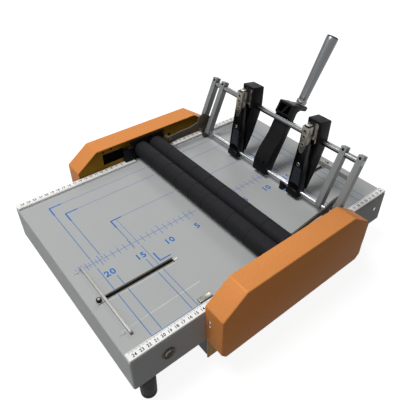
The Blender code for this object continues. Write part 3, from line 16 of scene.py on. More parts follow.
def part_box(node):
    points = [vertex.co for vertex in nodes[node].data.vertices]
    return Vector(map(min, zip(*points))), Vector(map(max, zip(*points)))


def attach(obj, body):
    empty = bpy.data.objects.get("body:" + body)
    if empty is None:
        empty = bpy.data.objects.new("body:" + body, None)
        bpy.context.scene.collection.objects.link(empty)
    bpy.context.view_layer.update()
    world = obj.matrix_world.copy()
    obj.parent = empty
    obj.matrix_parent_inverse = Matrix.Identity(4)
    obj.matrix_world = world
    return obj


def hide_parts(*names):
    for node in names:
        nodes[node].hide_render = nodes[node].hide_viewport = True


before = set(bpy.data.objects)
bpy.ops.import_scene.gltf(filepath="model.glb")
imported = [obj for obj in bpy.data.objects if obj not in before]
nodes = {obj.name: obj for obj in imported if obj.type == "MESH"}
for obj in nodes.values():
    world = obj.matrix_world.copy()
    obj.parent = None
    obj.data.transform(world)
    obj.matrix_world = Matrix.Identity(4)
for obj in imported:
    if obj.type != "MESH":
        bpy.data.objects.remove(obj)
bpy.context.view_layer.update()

# %% [markdown]
# The machine is easiest to measure from its fold line, the printed centre line and the table top, as a
# fitter would. The CAD model stands with its feet on zero, so one shift, read off the left table tray,
# turns working measurements into places.

# %% Working measurements
MM = 0.001
TABLE_REACH = 250
TABLE_NEAR = -164
TABLE_FAR = 186
DESK = -112

tray_low, tray_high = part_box("table_left")
home = Vector((tray_low.x + TABLE_REACH * MM, tray_low.y - TABLE_NEAR * MM, tray_high.z))
print("working origin, mm:", [round(v / MM, 1) for v in home])

# %% [markdown]
# The camera looks down at the machine from its left front corner. Its focal length and angles were
# found by fitting the table's edges, so it is set from numbers and not by eye. The small shift puts the
# machine where the picture has it.

# %% Camera
VIEW_WIDTH = 400
SENSOR = 36
FOCAL = 451.28
CENTRE = (218.70, 188.14)
AZIMUTH = math.radians(-40.40)
ELEVATION = math.radians(38.39)
ROLL = math.radians(1.12)
EYE = Vector((-354.63, -436.64, 476.33))

ahead = Vector(
    (-math.sin(AZIMUTH) * math.cos(ELEVATION), math.cos(AZIMUTH) * math.cos(ELEVATION), -math.sin(ELEVATION))
)
level_right = ahead.cross(Vector((0, 0, 1))).normalized()
level_up = level_right.cross(ahead)
right = level_right * math.cos(ROLL) + level_up * math.sin(ROLL)
up = level_up * math.cos(ROLL) - level_right * math.sin(ROLL)
place = Matrix((right, up, -ahead)).transposed().to_4x4()
place.translation = home + EYE * MM

bpy.ops.object.camera_add()
camera = bpy.context.object
camera.name = "photo_camera"
camera.matrix_world = place
camera.data.sensor_width = SENSOR
camera.data.lens = FOCAL / VIEW_WIDTH * SENSOR
camera.data.shift_x = (VIEW_WIDTH / 2 - CENTRE[0]) / VIEW_WIDTH
camera.data.shift_y = (CENTRE[1] - VIEW_WIDTH / 2) / VIEW_WIDTH
camera.data.clip_start = 0.01
camera.data.dof.use_dof = False
bpy.context.scene.camera = camera
print("lens:", round(camera.data.lens, 2), "mm")

# %% [markdown]
# A finish is a small tree of nodes. One function adds a node with its settings and links, and another
# turns a colour written as on the screen into the linear numbers that the shader wants. A finish starts
# from plain values, and then each pattern on it is laid out in millimetres of the real surface.

# %% Tools for finishes


def linear(code):
    """An sRGB hex colour as linear RGBA."""
    shares = [int(code[i : i + 2], 16) / 255 for i in (1, 3, 5)]
    return (*[v / 12.92 if v <= 0.04045 else ((v + 0.055) / 1.055) ** 2.4 for v in shares], 1.0)


def add_node(finish, kind, inputs=None, **settings):
    """Adds one node; an input is a value, or the output of another node."""
    made = finish.node_tree.nodes.new(kind)
    for name, value in settings.items():
        setattr(made, name, value)
    for name, value in (inputs or {}).items():
        if isinstance(value, bpy.types.NodeSocket):
            finish.node_tree.links.new(value, made.inputs[name])
        else:
            made.inputs[name].default_value = value
    return made


def new_finish(name, colour, roughness, metallic=0.0, specular=0.5, subsurface=0.0):
    """A material with its shader's plain values; patterns are linked in afterwards."""
    finish = bpy.data.materials.new(name)
    finish.use_nodes = True
    plain = {
        "Base Color": linear(colour), "Roughness": roughness, "Metallic": metallic,
        "Specular IOR Level": specular, "Subsurface Weight": subsurface,
    }
    for socket, value in plain.items():
        finish.node_tree.nodes["Principled BSDF"].inputs[socket].default_value = value
    finish.diffuse_color = linear(colour)
    print("finish:", name)
    return finish


def weather(
    finish, size, shades=None, sheen=None, relief=None,
    stretch=(1, 1, 1), detail=3, cells=None, span=(0.35, 0.65),
):
    """Lays a pattern on a finish, with spots that are size millimetres across.

    It is a noise, or the named output of a cell pattern. It wanders between two shades and two
    roughnesses, and relief is its depth in millimetres and its strength.
    """
    shader = finish.node_tree.nodes["Principled BSDF"]
    links = finish.node_tree.links
    here = add_node(finish, "ShaderNodeTexCoord")
    laid = add_node(finish, "ShaderNodeMapping", {"Vector": here.outputs["Object"], "Scale": stretch})
    inputs = {"Vector": laid.outputs["Vector"], "Scale": 1 / (size * MM)}
    if cells:
        source = add_node(finish, "ShaderNodeTexVoronoi", inputs).outputs[cells]
    else:
        source = add_node(finish, "ShaderNodeTexNoise", {**inputs, "Detail": detail}).outputs["Fac"]
    if shades:
        ends = {6: linear(shades[0]), 7: linear(shades[1])}
        mix = add_node(finish, "ShaderNodeMix", {0: source, **ends}, data_type="RGBA")
        links.new(mix.outputs[2], shader.inputs["Base Color"])
    if sheen:
        ends = {"From Min": span[0], "From Max": span[1], "To Min": sheen[0], "To Max": sheen[1]}
        spread = add_node(finish, "ShaderNodeMapRange", {"Value": source, **ends})
        links.new(spread.outputs["Result"], shader.inputs["Roughness"])
    if relief:
        raised = {"Height": source, "Distance": relief[0] * MM, "Strength": relief[1]}
        bump = add_node(finish, "ShaderNodeBump", raised)
        links.new(bump.outputs["Normal"], shader.inputs["Normal"])


# %% [markdown]
# The table is steel sheet with baked grey powder coat. Powder melts into a skin with a faint orange
# peel, a millimetre or so from bump to bump, and years of paper leave it a little glossier in patches.
# Two noises do this: a broad one for the patches and a fine one for the peel.

# %% Grey powder coat on steel
grey_powder = new_finish("grey_powder_coat", "#A9ABAB", 0.5, specular=0.05)
weather(grey_powder, 60, ("#A6A8A9", "#ACAEAD"), (0.46, 0.56), detail=4)
weather(grey_powder, 1.1, relief=(0.02, 0.5), detail=2)

# %% [markdown]
# The covers carry a copper metallic paint: tiny aluminium flakes lie in a tinted clear coat. The flakes
# tilt each their own way, so the paint glitters on the lit folds and goes deep brown in the shade. A
# fine cell pattern varies the tint. Its cells are about half a millimetre, coarser than real flakes, so
# that they still show.

# %% Copper metallic paint
copper_paint = new_finish("copper_metallic_paint", "#D78C4E", 0.4, 0.05, 0.01)
weather(copper_paint, 0.55, ("#CD8046", "#DC9455"), cells="Color")
weather(copper_paint, 1.4, relief=(0.02, 0.4), detail=2)

# %% [markdown]
# The side plates behind the covers are zinc plated and passivated to a dark bronze yellow. Passivate
# dries in clouds a few centimetres wide, so the colour wanders between brown and olive.

# %% Bronze passivated zinc
bronze_zinc = new_finish("bronze_passivated_zinc", "#7C5A14", 0.42, 0.4, 0.06)
weather(bronze_zinc, 28, ("#684808", "#946E1E"), (0.36, 0.5), detail=5)

# %% [markdown]
# Black parts come in three finishes: satin black paint on the cast arm, moulded ABS on the stapler
# covers, with a spark-eroded grain that is drawn a little coarse so that it shows, and glossy black
# lacquer on the magazines. They differ in gloss and grain more than in colour.

# %% Satin black paint, grained ABS and black lacquer
black_paint = new_finish("satin_black_paint_on_cast_iron", "#0C0C0D", 0.38, specular=0.09)
weather(black_paint, 0.9, ("#0A0A0B", "#141416"), (0.3, 0.44), (0.03, 0.3))

black_abs = new_finish("grained_black_abs", "#131315", 0.42, specular=0.07)
weather(black_abs, 0.7, ("#101012", "#19191B"), (0.36, 0.48), (0.03, 0.5), cells="Distance", span=(0.1, 0.8))

black_lacquer = new_finish("glossy_black_lacquer", "#08090A", 0.2, specular=0.13)
weather(black_lacquer, 12, ("#060708", "#0B0C0E"), (0.16, 0.26))

# %% [markdown]
# The rollers are ground rubber. Grinding leaves very fine rings round the roller, and paper dust dulls
# them, so a noise stretched round the roller varies the roughness. The feet are moulded rubber, matt
# and dusty, with no direction in it.

# %% Ground rubber and moulded rubber
roller_rubber = new_finish("ground_black_rubber", "#1C1C1E", 0.6, specular=0.08)
weather(
    roller_rubber, 2.2, ("#18181A", "#242427"), (0.52, 0.7), (0.03, 0.35), stretch=(0.1, 1, 0.1), detail=4
)
foot_rubber = new_finish("moulded_black_rubber", "#18181A", 0.75, specular=0.2)
weather(foot_rubber, 3, ("#141415", "#242426"), (0.66, 0.84), (0.05, 0.4), detail=5)

# %% [markdown]
# Chrome comes in three copies: polished plate on the upper rail and nut, a ground rod for the lower rail,
# and a satin tube for the handle. Besides roughness they differ in brightness as painted light: the plate
# is darker than real chrome, the rod is painted bright for its broad highlight, and the tube darker still
# for its shaded side. Broad faint smears keep them from looking new.

# %% Three chromes, painted darker and brighter
# Darker than real chrome, as painted shade in its reflections
chrome = new_finish("polished_chrome_plate", "#7C7E80", 0.2, 1.0)
weather(chrome, 60, ("#797B7D", "#808284"), (0.18, 0.22), detail=1)

# Painted bright, for the lower rail's broad highlight
bright_painted_chrome = new_finish("chrome_painted_bright_for_highlight", "#C6C8CB", 0.19, 1.0)
weather(bright_painted_chrome, 60, ("#C2C4C7", "#CBCDD0"), (0.17, 0.22), detail=1)

# Painted darker still, for the handle tube's shaded side
dark_painted_satin_chrome = new_finish("satin_chrome_painted_dark", "#6A6C6E", 0.3, 1.0)
weather(dark_painted_satin_chrome, 60, ("#686A6C", "#6E7072"), (0.27, 0.33), detail=1)

# %% [markdown]
# The other bright parts are dull nickel on the staplers' sheet parts, brushed aluminium on the arms,
# rolled steel on the stops, and zinc on the screws. Stretched noises give the direction of rolling and
# brushing; real brush marks are finer than these, which are as coarse as they need to show.

# %% Nickel, aluminium, steel and zinc
nickel = new_finish("dull_nickel_plated_sheet", "#86837B", 0.3, 1.0)
weather(nickel, 5, ("#7C7972", "#908D85"), (0.26, 0.36), (0.02, 0.15), stretch=(1, 1, 0.35))

aluminium = new_finish("brushed_anodised_aluminium", "#828483", 0.42, 0.3, 0.08)
weather(
    aluminium, 0.8, ("#7A7C7B", "#8C8E8D"), (0.36, 0.48), (0.012, 0.3), stretch=(1, 1, 0.05), detail=4
)
steel = new_finish("bright_rolled_steel", "#A6A5A1", 0.46, 0.4, 0.2)
weather(steel, 1.2, ("#9C9B97", "#B0AFAA"), (0.4, 0.52), stretch=(1, 0.06, 1), detail=4)

zinc = new_finish("bright_zinc_plated_screw", "#B9BABA", 0.3, 1.0)
weather(zinc, 1.5, ("#A6A7A8", "#C9CACA"), (0.24, 0.38))

# %% [markdown]
# The plastics are white rigid PVC for the ruler strips, which hands leave patchy, natural acetal for the
# gears, which lets a little light in, and black nylon for the fittings, with the flow of the moulding.

# %% White PVC, acetal and nylon
ruler_white = new_finish("white_rigid_pvc", "#ECECEA", 0.34)
weather(ruler_white, 25, ("#E6E6E3", "#F0F0EE"), (0.28, 0.42), detail=4)

acetal = new_finish("natural_acetal", "#DAD8D0", 0.44, subsurface=0.05)
weather(acetal, 8, ("#D4D2C9", "#E0DED7"), (0.38, 0.5))

black_nylon = new_finish("moulded_black_nylon", "#121214", 0.36, specular=0.12)
weather(black_nylon, 4, ("#0E0E10", "#18181B"), (0.3, 0.44))

# %% [markdown]
# The inks are screen printed: bold blue marks and numbers, two thinner blues in which more of the grey
# shows through, and black for the rulers. They sit on the surface as a matt film with the trace of the
# screen's mesh, drawn coarser than a real mesh.

# %% Printing inks
blue_ink = new_finish("blue_screen_ink", "#2269B0", 0.55, specular=0.1)
weather(blue_ink, 0.6, ("#1C62A8", "#2A70B8"), (0.5, 0.62), detail=2)

thin_blue_ink = new_finish("thin_blue_screen_ink", "#5F79AC", 0.55, specular=0.1)
weather(thin_blue_ink, 0.6, ("#5872A6", "#6A82B2"), (0.5, 0.62), detail=2)

fine_blue_ink = new_finish("fine_blue_screen_ink", "#4A74A8", 0.55, specular=0.1)
weather(fine_blue_ink, 0.6, ("#446EA2", "#527CAF"), (0.5, 0.62), detail=2)

black_ink = new_finish("black_screen_ink", "#161618", 0.5, specular=0.1)
weather(black_ink, 0.6, ("#141416", "#242427"), (0.45, 0.58), detail=2)

# %% [markdown]
# Four finishes are left for small places: brown phosphated steel on the rail brackets, its crystals in
# patches, a blued plate on the magazines' faces, a pale line on the table's paint, which also serves as a
# painted highlight, and a near-black that paints the shade inside recesses, holes and gaps, where no
# light should come back.

# %% Phosphated and blued steel, pale line and painted highlight, painted recess shade
phosphated_steel = new_finish("phosphated_steel", "#544B42", 0.5, 0.3, 0.15)
weather(phosphated_steel, 6, ("#463F37", "#625950"), (0.44, 0.6), detail=5)

blued_steel = new_finish("blued_steel_face", "#282C33", 0.34, specular=0.12)
weather(blued_steel, 16, ("#22262C", "#2E333B"), (0.3, 0.4))

# A pale line on the paint, also used as the painted highlight along the slot's near border
pale_line_and_highlight_paint = new_finish("pale_line_and_painted_highlight", "#BDC0C0", 0.3)
weather(pale_line_and_highlight_paint, 30, ("#B0B3B3", "#CBCDCD"), (0.24, 0.36))

# Near-black with almost no gloss: painted shade for recesses, holes and gaps
shadow_black = new_finish("painted_recess_shade", "#050505", 0.8, specular=0.03)
weather(shadow_black, 5, ("#040404", "#070708"), (0.74, 0.86))
print("finishes:", len([m for m in bpy.data.materials if m.use_nodes]))

# %% [markdown]
# Solids whose plain shape is already right keep their place and only get a finish. The record names a
# slot for each node, so the finishes are dealt out by slot.

# %% Finishes on the CAD solids
slot_finish = {
    "paint_grey": grey_powder,
    "paint_copper": copper_paint,
    "paint_bronze": bronze_zinc,
    "paint_black": black_paint,
    "steel": steel,
    "chrome": chrome,
    "nickel": nickel,
    "aluminium": aluminium,
    "rubber": roller_rubber,
    "plastic_black": black_abs,
    "ruler_white": ruler_white,
    "acetal": acetal,
}
for name, node in nodes.items():
    for seat in node.material_slots:
        plain = seat.material.name.split(".")[0]
        seat.material = slot_finish[plain]
print("dressed nodes:", len(nodes))

# %% [markdown]
# Every new piece starts as one primitive and is shaped in edit mode. Small tools repeat through the
# lesson: choosing pieces, a flat plate with a drawn outline, a turned piece that grows ring by ring, a
# block, rounded edges, and a cut or join with a second piece. All sizes are millimetres.

# %% Modelling tools
WELD = 1e-6


def choose(*pieces):
    """Selects only these pieces and makes the first one active."""
    bpy.ops.object.select_all(action="DESELECT")
    for piece in pieces:
        piece.select_set(True)
    bpy.context.view_layer.objects.active = pieces[0]


def fresh(name):
    """The primitive that was just added, named."""
    piece = bpy.context.object
    piece.name = name
    piece.data.name = name
    return piece


def edit_all():
    """Edit mode with the whole mesh selected."""
    bpy.ops.object.mode_set(mode="EDIT")
    bpy.ops.mesh.select_all(action="SELECT")


def edit_faces(piece, wanted):
    """Edit mode with only the wanted faces selected."""
    choose(piece)
    bpy.ops.object.mode_set(mode="EDIT")
    bpy.ops.mesh.select_all(action="DESELECT")
    bpy.ops.mesh.select_mode(type="FACE")
    bpy.ops.object.mode_set(mode="OBJECT")
    for face in piece.data.polygons:
        face.select = wanted(face)
    bpy.ops.object.mode_set(mode="EDIT")


def face_out(piece):
    """Merges doubled points and turns all faces outward."""
    choose(piece)
    edit_all()
    bpy.ops.mesh.remove_doubles(threshold=WELD)
    bpy.ops.mesh.normals_make_consistent(inside=False)
    bpy.ops.object.mode_set(mode="OBJECT")
    return piece


def plate(name, outline, low, high):
    """A circle whose corners are pulled to the outline, extruded along local z."""
    bpy.ops.object.select_all(action="DESELECT")
    bpy.ops.mesh.primitive_circle_add(vertices=len(outline), radius=MM, fill_type="NGON")
    piece = fresh(name)
    for corner, (x, y) in zip(piece.data.vertices, outline):
        corner.co = (x * MM, y * MM, low * MM)
    edit_all()
    bpy.ops.mesh.extrude_region_move(TRANSFORM_OT_translate={"value": (0, 0, (high - low) * MM)})
    bpy.ops.object.mode_set(mode="OBJECT")
    return face_out(piece)


def turned(name, profile, steps=48):
    """Rings of (radius, height), grown from a disc by extruding and resizing."""
    bpy.ops.object.select_all(action="DESELECT")
    radius, height = profile[0]
    bpy.ops.mesh.primitive_circle_add(
        vertices=steps, radius=radius * MM, fill_type="NGON", location=(0, 0, height * MM)
    )
    piece = fresh(name)
    bpy.ops.object.transform_apply(location=True)
    edit_all()
    for wider, higher in profile[1:]:
        rise = (higher - height) * MM
        bpy.ops.mesh.extrude_region_move(TRANSFORM_OT_translate={"value": (0, 0, rise)})
        share = wider / radius
        bpy.ops.transform.resize(value=(share, share, 1), center_override=(0, 0, higher * MM))
        radius, height = wider, higher
    bpy.ops.object.mode_set(mode="OBJECT")
    return face_out(piece)


def block(name, low, high):
    """A cube between two corners."""
    bpy.ops.object.select_all(action="DESELECT")
    size = [(b - a) * MM for a, b in zip(low, high)]
    middle = [(a + b) / 2 * MM for a, b in zip(low, high)]
    bpy.ops.mesh.primitive_cube_add(size=1, location=middle, scale=size)
    piece = fresh(name)
    bpy.ops.object.transform_apply(location=True, rotation=True, scale=True)
    return piece


def modify(piece, kind, **settings):
    """Adds one modifier with its settings and applies it."""
    choose(piece)
    step = piece.modifiers.new(kind.lower(), kind)
    for name, value in settings.items():
        setattr(step, name, value)
    bpy.ops.object.modifier_apply(modifier=step.name)
    return piece


def soften(piece, width, segments=3, angle=30):
    """Rounds the edges that are sharper than the angle."""
    sharper = {"limit_method": "ANGLE", "angle_limit": math.radians(angle)}
    return modify(piece, "BEVEL", width=width * MM, segments=segments, **sharper)


def use_up(*pieces):
    """Removes models that have been copied or cut with."""
    for piece in pieces:
        bpy.data.objects.remove(piece, do_unlink=True)


def combine(piece, other, operation="DIFFERENCE"):
    """Cuts the other piece out of this one, or joins it on; the other piece is used up."""
    modify(piece, "BOOLEAN", operation=operation, solver="EXACT", object=other)
    use_up(other)
    return piece


def join(piece, *others):
    """Several meshes in one object."""
    choose(piece, *others)
    bpy.ops.object.join()
    return piece


def twin(piece, name):
    """A copy with its own mesh."""
    choose(piece)
    bpy.ops.object.duplicate()
    return fresh(name)


# %% [markdown]
# A finished piece is put in its place with its transform applied, so its object stays at the origin,
# where a pattern on object coordinates expects it. It then gets smooth shading below a crease angle, its
# finish, the body that it rides on, and the CAD solid that it stands for, if there is one.

# %% Places, and what finishes a piece
SMOOTH = math.radians(32)


def shift(x=0, y=0, z=0):
    """A move in millimetres."""
    return Matrix.Translation(Vector((x, y, z)) * MM)


def turn(degrees, axis):
    """A turn about one of the axes."""
    return Matrix.Rotation(math.radians(degrees), 4, axis)


def put(piece, place):
    """Moves a piece to its place and applies the transform."""
    choose(piece)
    piece.matrix_world = place
    bpy.ops.object.transform_apply(location=True, rotation=True, scale=True)
    return piece


def done(piece, finish, body, stands_for=()):
    """Smooths a placed piece, gives it its finish and lets it ride on its body."""
    choose(piece)
    bpy.ops.object.shade_smooth_by_angle(angle=SMOOTH)
    piece.data.materials.clear()
    piece.data.materials.append(finish)
    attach(piece, body)
    if stands_for:
        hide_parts(*stands_for)
    size = [round(v / MM, 1) for v in piece.dimensions]
    print(piece.name, "mm:", size, "faces:", len(piece.data.polygons))
    return piece


# A piece is drawn upward and turned: a side view and a front view stand up, and a shaft lies across
STANDING = Matrix.Translation(home)
TO_LEFT, TO_RIGHT = turn(-90, "Y"), turn(90, "Y")
TO_NEAR, TO_FAR = turn(90, "X"), turn(-90, "X")
SIDE = TO_NEAR
FRONT = turn(90, "Z") @ SIDE
MIRRORED = Matrix.Scale(-1, 4, (0, 0, 1))
print("table top at", round(home.z / MM, 1), "mm")

# %% [markdown]
# The covers are one folded sheet each: a six-sided side view, swept away from the machine and open
# toward its side plate. The drawn plate loses the face on the plate's side, its folds are rounded to
# the bend radius of a press brake, and a solidify gives the sheet its 1.5 mm.

# %% Folded covers
SHEET = 1.5
BEND = 1.9
ON_RIM = 1e-5
COVER_OUTLINE = [
    (-140, -55), (-132.5, -65), (141, -64), (150, -55), (150, 14.5), (109, 43), (-101, 43), (-140, 14.5),
]


def folded_cover(name, rim, outer, node):
    """A cover whose rim and outer face lie at these distances across the machine."""
    cover = plate(name, COVER_OUTLINE, *sorted((-rim, -outer)))
    edit_faces(cover, lambda face: abs(face.center.z + rim * MM) < ON_RIM)
    bpy.ops.mesh.delete(type="FACE")
    bpy.ops.object.mode_set(mode="OBJECT")
    soften(cover, BEND, 4, 20)
    modify(cover, "SOLIDIFY", thickness=SHEET * MM, offset=-1, use_even_offset=True)
    return done(put(cover, STANDING @ SIDE), copper_paint, "base", [node])


folded_cover("cover_shell_near", -163.1, -197.6, "cover_near")
folded_cover("cover_shell_far", 185.3, 223.6, "cover_far")

# %% [markdown]
# Each roller is a rubber sleeve ground in eight segments; the seven joints show as fine rings. One
# sleeve is turned, then copied for the second shaft. Its ends are chamfered like the real ones.

# %% Rubber rollers
CORE, ROLLER = 6, 14.8
ROLLER_OUT, ROLLER_LIFT = 15, 18
NEAR_END, FAR_END = -160, 182
BLUNT = 1
GROOVE, GROOVE_HALF, GROOVE_MOUTH = 0.5, 0.4, 0.9
profile = [(CORE, NEAR_END), (ROLLER - BLUNT, NEAR_END), (ROLLER, NEAR_END + BLUNT)]
for joint in (-112, -70, -12, 22, 58, 92, 128):
    profile += [(ROLLER, joint - GROOVE_MOUTH), (ROLLER - GROOVE, joint - GROOVE_HALF)]
    profile += [(ROLLER - GROOVE, joint + GROOVE_HALF), (ROLLER, joint + GROOVE_MOUTH)]
profile += [(ROLLER, FAR_END - BLUNT), (ROLLER - BLUNT, FAR_END), (CORE, FAR_END)]
sleeve = turned("roller_sleeve_front", profile, 64)
other = twin(sleeve, "roller_sleeve_rear")
for piece, hand, side in ((sleeve, "front", -1), (other, "rear", 1)):
    put(piece, STANDING @ shift(side * ROLLER_OUT, 0, ROLLER_LIFT) @ TO_FAR)
    done(piece, roller_rubber, "roller_" + hand, ["roller_" + hand + "_sleeve"])

# %% [markdown]
# The leaning frame turns about the lower rail. Its pieces are drawn along the lean, with the lower rail
# at the origin, and one matrix puts them in place. The rails are chromed rods with a chamfer and a
# centre mark in each end, as a lathe leaves them.

# %% Rails
HINGE = (121, 15)
LEAN = math.radians(23.6)
SPAN = 90
LOWER_RAIL, UPPER_RAIL = 3.5, 5
CHAMFER = 0.7
MARK, MARK_TIP, MARK_DEEP = 1.6, 0.8, 1.4
ON_RAIL = STANDING @ shift(HINGE[0], 0, HINGE[1])
ON_FRAME = ON_RAIL @ Matrix.Rotation(LEAN, 4, "Y")


def rod(name, radius, low, high):
    """A rod with chamfered ends and a small centre mark in each."""
    start = [(MARK_TIP, low + MARK_DEEP), (MARK, low), (radius - CHAMFER, low), (radius, low + CHAMFER)]
    stop = [(radius, high - CHAMFER), (radius - CHAMFER, high), (MARK, high), (MARK_TIP, high - MARK_DEEP)]
    return turned(name, start + stop, 40)


rail = put(rod("lower_rail_rod", LOWER_RAIL, -162.4, 184.4), ON_RAIL @ TO_FAR)
done(rail, bright_painted_chrome, "base", ["lower_rail"])
rail = put(rod("upper_rail_rod", UPPER_RAIL, -160.5, 184.25), ON_FRAME @ shift(0, 0, SPAN) @ TO_FAR)
done(rail, chrome, "swing_frame", ["upper_rail"])

# %% [markdown]
# Four flat bars join the rails. Each is cut from extruded bar with a rounded foot, bored for both
# rails and slit at the head, so that a socket screw can clamp it. One bar is modelled, then copied.

# %% Frame arms
BAR_HALF, BAR_FACE, BAR_HEAD = 5, 6, 11
PLAY = 0.2
CLAMP_UP = 6
SLIT_HALF = 0.6
THROUGH = 9
ARM_PLACES = {4: -155.2, 1: 179.8, 2: 155.8, 3: -124.2}
CLAMP = shift(0, SPAN + CLAMP_UP, 0) @ TO_RIGHT
half_turn = [math.pi * (1 + i / 12) for i in range(13)]
foot = [(BAR_FACE * math.cos(a), BAR_FACE * math.sin(a)) for a in half_turn]
head = [(BAR_FACE, SPAN + BAR_HEAD), (-BAR_FACE, SPAN + BAR_HEAD)]
bar = soften(plate("bar", foot + head, -BAR_HALF, BAR_HALF), 0.7, 2, 40)
for rail, height in ((LOWER_RAIL, 0), (UPPER_RAIL, SPAN)):
    bore = turned("bore", [(rail + PLAY, -THROUGH), (rail + PLAY, THROUGH)], 32)
    combine(bar, put(bore, shift(0, height, 0)))
combine(bar, block("slit", (-SLIT_HALF, SPAN, -THROUGH), (SLIT_HALF, SPAN + BAR_HEAD + PLAY, THROUGH)))
combine(bar, put(turned("screw_seat", [(2.1, -12), (2.1, -5)], 20), CLAMP))
screw = put(turned("screw", [(1.2, -5.6), (1.2, -6.6), (1.9, -6.6), (1.9, -4.4)], 20), CLAMP)
# The clamp screws take the painted recess shade, so that they read as dark holes in their seats
for number, middle in ARM_PLACES.items():
    for model, name, finish, nodes_for in (
        (bar, "bar_arm_%d", aluminium, ["arm_%d" % number]), (screw, "arm_clamp_screw_%d", shadow_black, ()),
    ):
        piece = put(twin(model, name % number), ON_FRAME @ shift(0, middle, 0) @ SIDE)
        done(piece, finish, "swing_frame", nodes_for)
use_up(bar, screw)

# %% [markdown]
# The handle arm is a casting: a thick leg with a bulge toward the operator, a saddle that rests on the
# upper rail, a hollow head with a slanting rib, and a lug that the handle is screwed to. The side view
# is drawn once and extruded; the hollow is cut, the rib is added, and every edge gets the generous
# radius that a casting needs to leave its mould.

# %% Handle arm
ARM_MIDDLE = 7
HEAD_TOP = 119.5
ARM_OUTLINE = [
    (-4, -9), (-9, 10), (-7, 30), (1.4, 59), (3.2, 84.5), (5.3, 90), (3.2, 94.3), (-2.7, 99), (0, HEAD_TOP),
    (23.4, HEAD_TOP), (21.2, 111.6), (17.1, 109.4), (15.5, 104.4), (15.3, 81), (9.5, 2), (7.7, -9),
]
LUG_OUTLINE = [
    (10.8, HEAD_TOP), (44.1, HEAD_TOP), (47.5, 117), (46.4, 112.3), (44.1, 111.2), (10.8, 111.2),
]
arm = plate("handle_arm_casting", ARM_OUTLINE, -15.5, 15.5)
combine(arm, plate("hollow", [(-8, 100.8), (11.7, 100.8), (12.6, 115.7), (-8, 115.7)], -12, 12))
combine(arm, plate("lug", LUG_OUTLINE, -10.5, 10.5), "UNION")
combine(arm, put(turned("dimple", [(2.6, -20), (2.6, -14)], 28), shift(-4.5, 10)))
dimple = turned("dimple", [(2.2, -14), (2.2, 14)], 28)
combine(arm, put(dimple, shift(-14, 11, 7) @ TO_RIGHT @ shift(0, 0, 18.5)))
rib = plate("rib", [(0.5, 99.5), (12.5, 99.5), (13, 117), (1.5, 117)], -1.6, 1.6)
put(rib, shift(0, 108, 0) @ turn(24, "X") @ shift(0, -108, 0))
combine(arm, rib, "UNION")
combine(arm, turned("bore", [(3.9, -18), (3.9, 18)], 32))
soften(arm, 1.2, 3, 35)
put(arm, ON_FRAME @ shift(0, ARM_MIDDLE, 0) @ SIDE)
done(arm, black_paint, "swing_frame", ["handle_arm"])

# %% [markdown]
# The handle is a chromed tube that widens toward the hand. A turned collar and a hexagon nut hold it on
# the lug, and a black plug closes the open end. The nut's corners are bevelled, as a real nut's are.

# %% Handle nut and tube
ON_LUG = ON_FRAME @ shift(38, ARM_MIDDLE, HEAD_TOP) @ turn(6.2, "Y")
nut = turned("handle_hex_nut", [(8.6, 1.4), (10, 2.2), (10, 5.6), (8.6, 6.3)], 6)
soften(nut, 0.35, 2, 20)
join(nut, turned("collar", [(8.9, 5.6), (9.3, 6.0), (9.3, 7.2), (8.4, 8.2)], 40))
done(put(nut, ON_LUG), chrome, "swing_frame", ["handle_nut"])
TUBE = [
    (7.2, 6.7), (7.6, 7.4), (7.8, 16), (8.8, 60), (10.1, 112), (10.2, 117.8), (10.0, 118.2), (8.6, 118.2),
    (8.6, 117.0),
]
tube = put(turned("handle_chrome_tube", TUBE), ON_LUG)
done(tube, dark_painted_satin_chrome, "swing_frame", ["handle_tube"])
PLUG = [(8.2, 117.2), (8.2, 118.3), (9.9, 118.4), (9.9, 119.2), (9.0, 120.3), (4, 120.7)]
plug = put(turned("handle_end_plug", PLUG, 40), ON_LUG)
done(plug, black_nylon, "swing_frame")

# %% [markdown]
# Two long brackets hold the lower rail. Each is a dark steel plate that runs along its side plate from
# a screwed boss to the rail, with a foot under the rail. The far one is deeper, and it is the near one's
# mirror image in how its boss points, so its faces are turned outward again after it is placed.

# %% Rail brackets
NEAR_BRACKET = [
    (-88, -2.8), (-53.7, 2.6), (-29, 6.5), (-7.9, 10.5), (7, 16), (20, 17.5), (19, 12.5), (8, 5), (7, -9.7),
    (-7, -9.7), (-7, -1), (-29, 0), (-53.7, -4.5), (-88, -10.5),
]
FAR_BRACKET = [
    (-88, 16), (-53.7, 18.5), (-38.7, 18), (-29.9, 20.5), (-19, 22.5), (-15, 33), (-4, 37), (12, 25.5),
    (12, 18), (7, 15), (7, -9.7), (-7, -9.7), (-8.8, 8), (-24.6, 8), (-46.6, 5), (-88, 1),
]
BRACKETS = (
    ("near", -142.2, NEAR_BRACKET, (-82.7, -6.2), 21.4, SIDE),
    ("far", 166.8, FAR_BRACKET, (-82.7, 8.8), 18.8, SIDE @ MIRRORED),
)
for end, middle, outline, boss_at, boss_reach, facing in BRACKETS:
    bracket = plate("rail_bracket_blade_" + end, outline, -1.5, 1.5)
    combine(bracket, block("foot", (-6, -14.7, -5.5), (6, -3.8, 1.5)), "UNION")
    soften(bracket, 0.5, 2, 40)
    boss = turned("boss", [(3.1, 0), (3.5, 0.6), (3.5, boss_reach)], 32)
    pin = turned("pin", [(4.2, -1.4), (4.2, -2.6), (3.2, -3.4), (1.4, -3.4), (1.2, -2.6)], 28)
    join(bracket, put(boss, shift(*boss_at)), put(pin, shift(*boss_at)))
    put(bracket, STANDING @ shift(HINGE[0], middle, HINGE[1]) @ facing)
    done(face_out(bracket), phosphated_steel, "base", ["rail_bracket_" + end])

# %% [markdown]
# The two staplers are alike, so each of their pieces is modelled once, in a side view from the lower
# rail, and one function copies it onto both. The tall ABS cover is hollowed from the front and rounded,
# and a small slot in its top lets the rail's clamp be reached. A glossy spine stands in the hollow.

# %% Stapler covers
STAPLERS = (("near", -72.5), ("far", 75.5))
ON_MAGAZINE = turn(5.3, "Y") @ FRONT


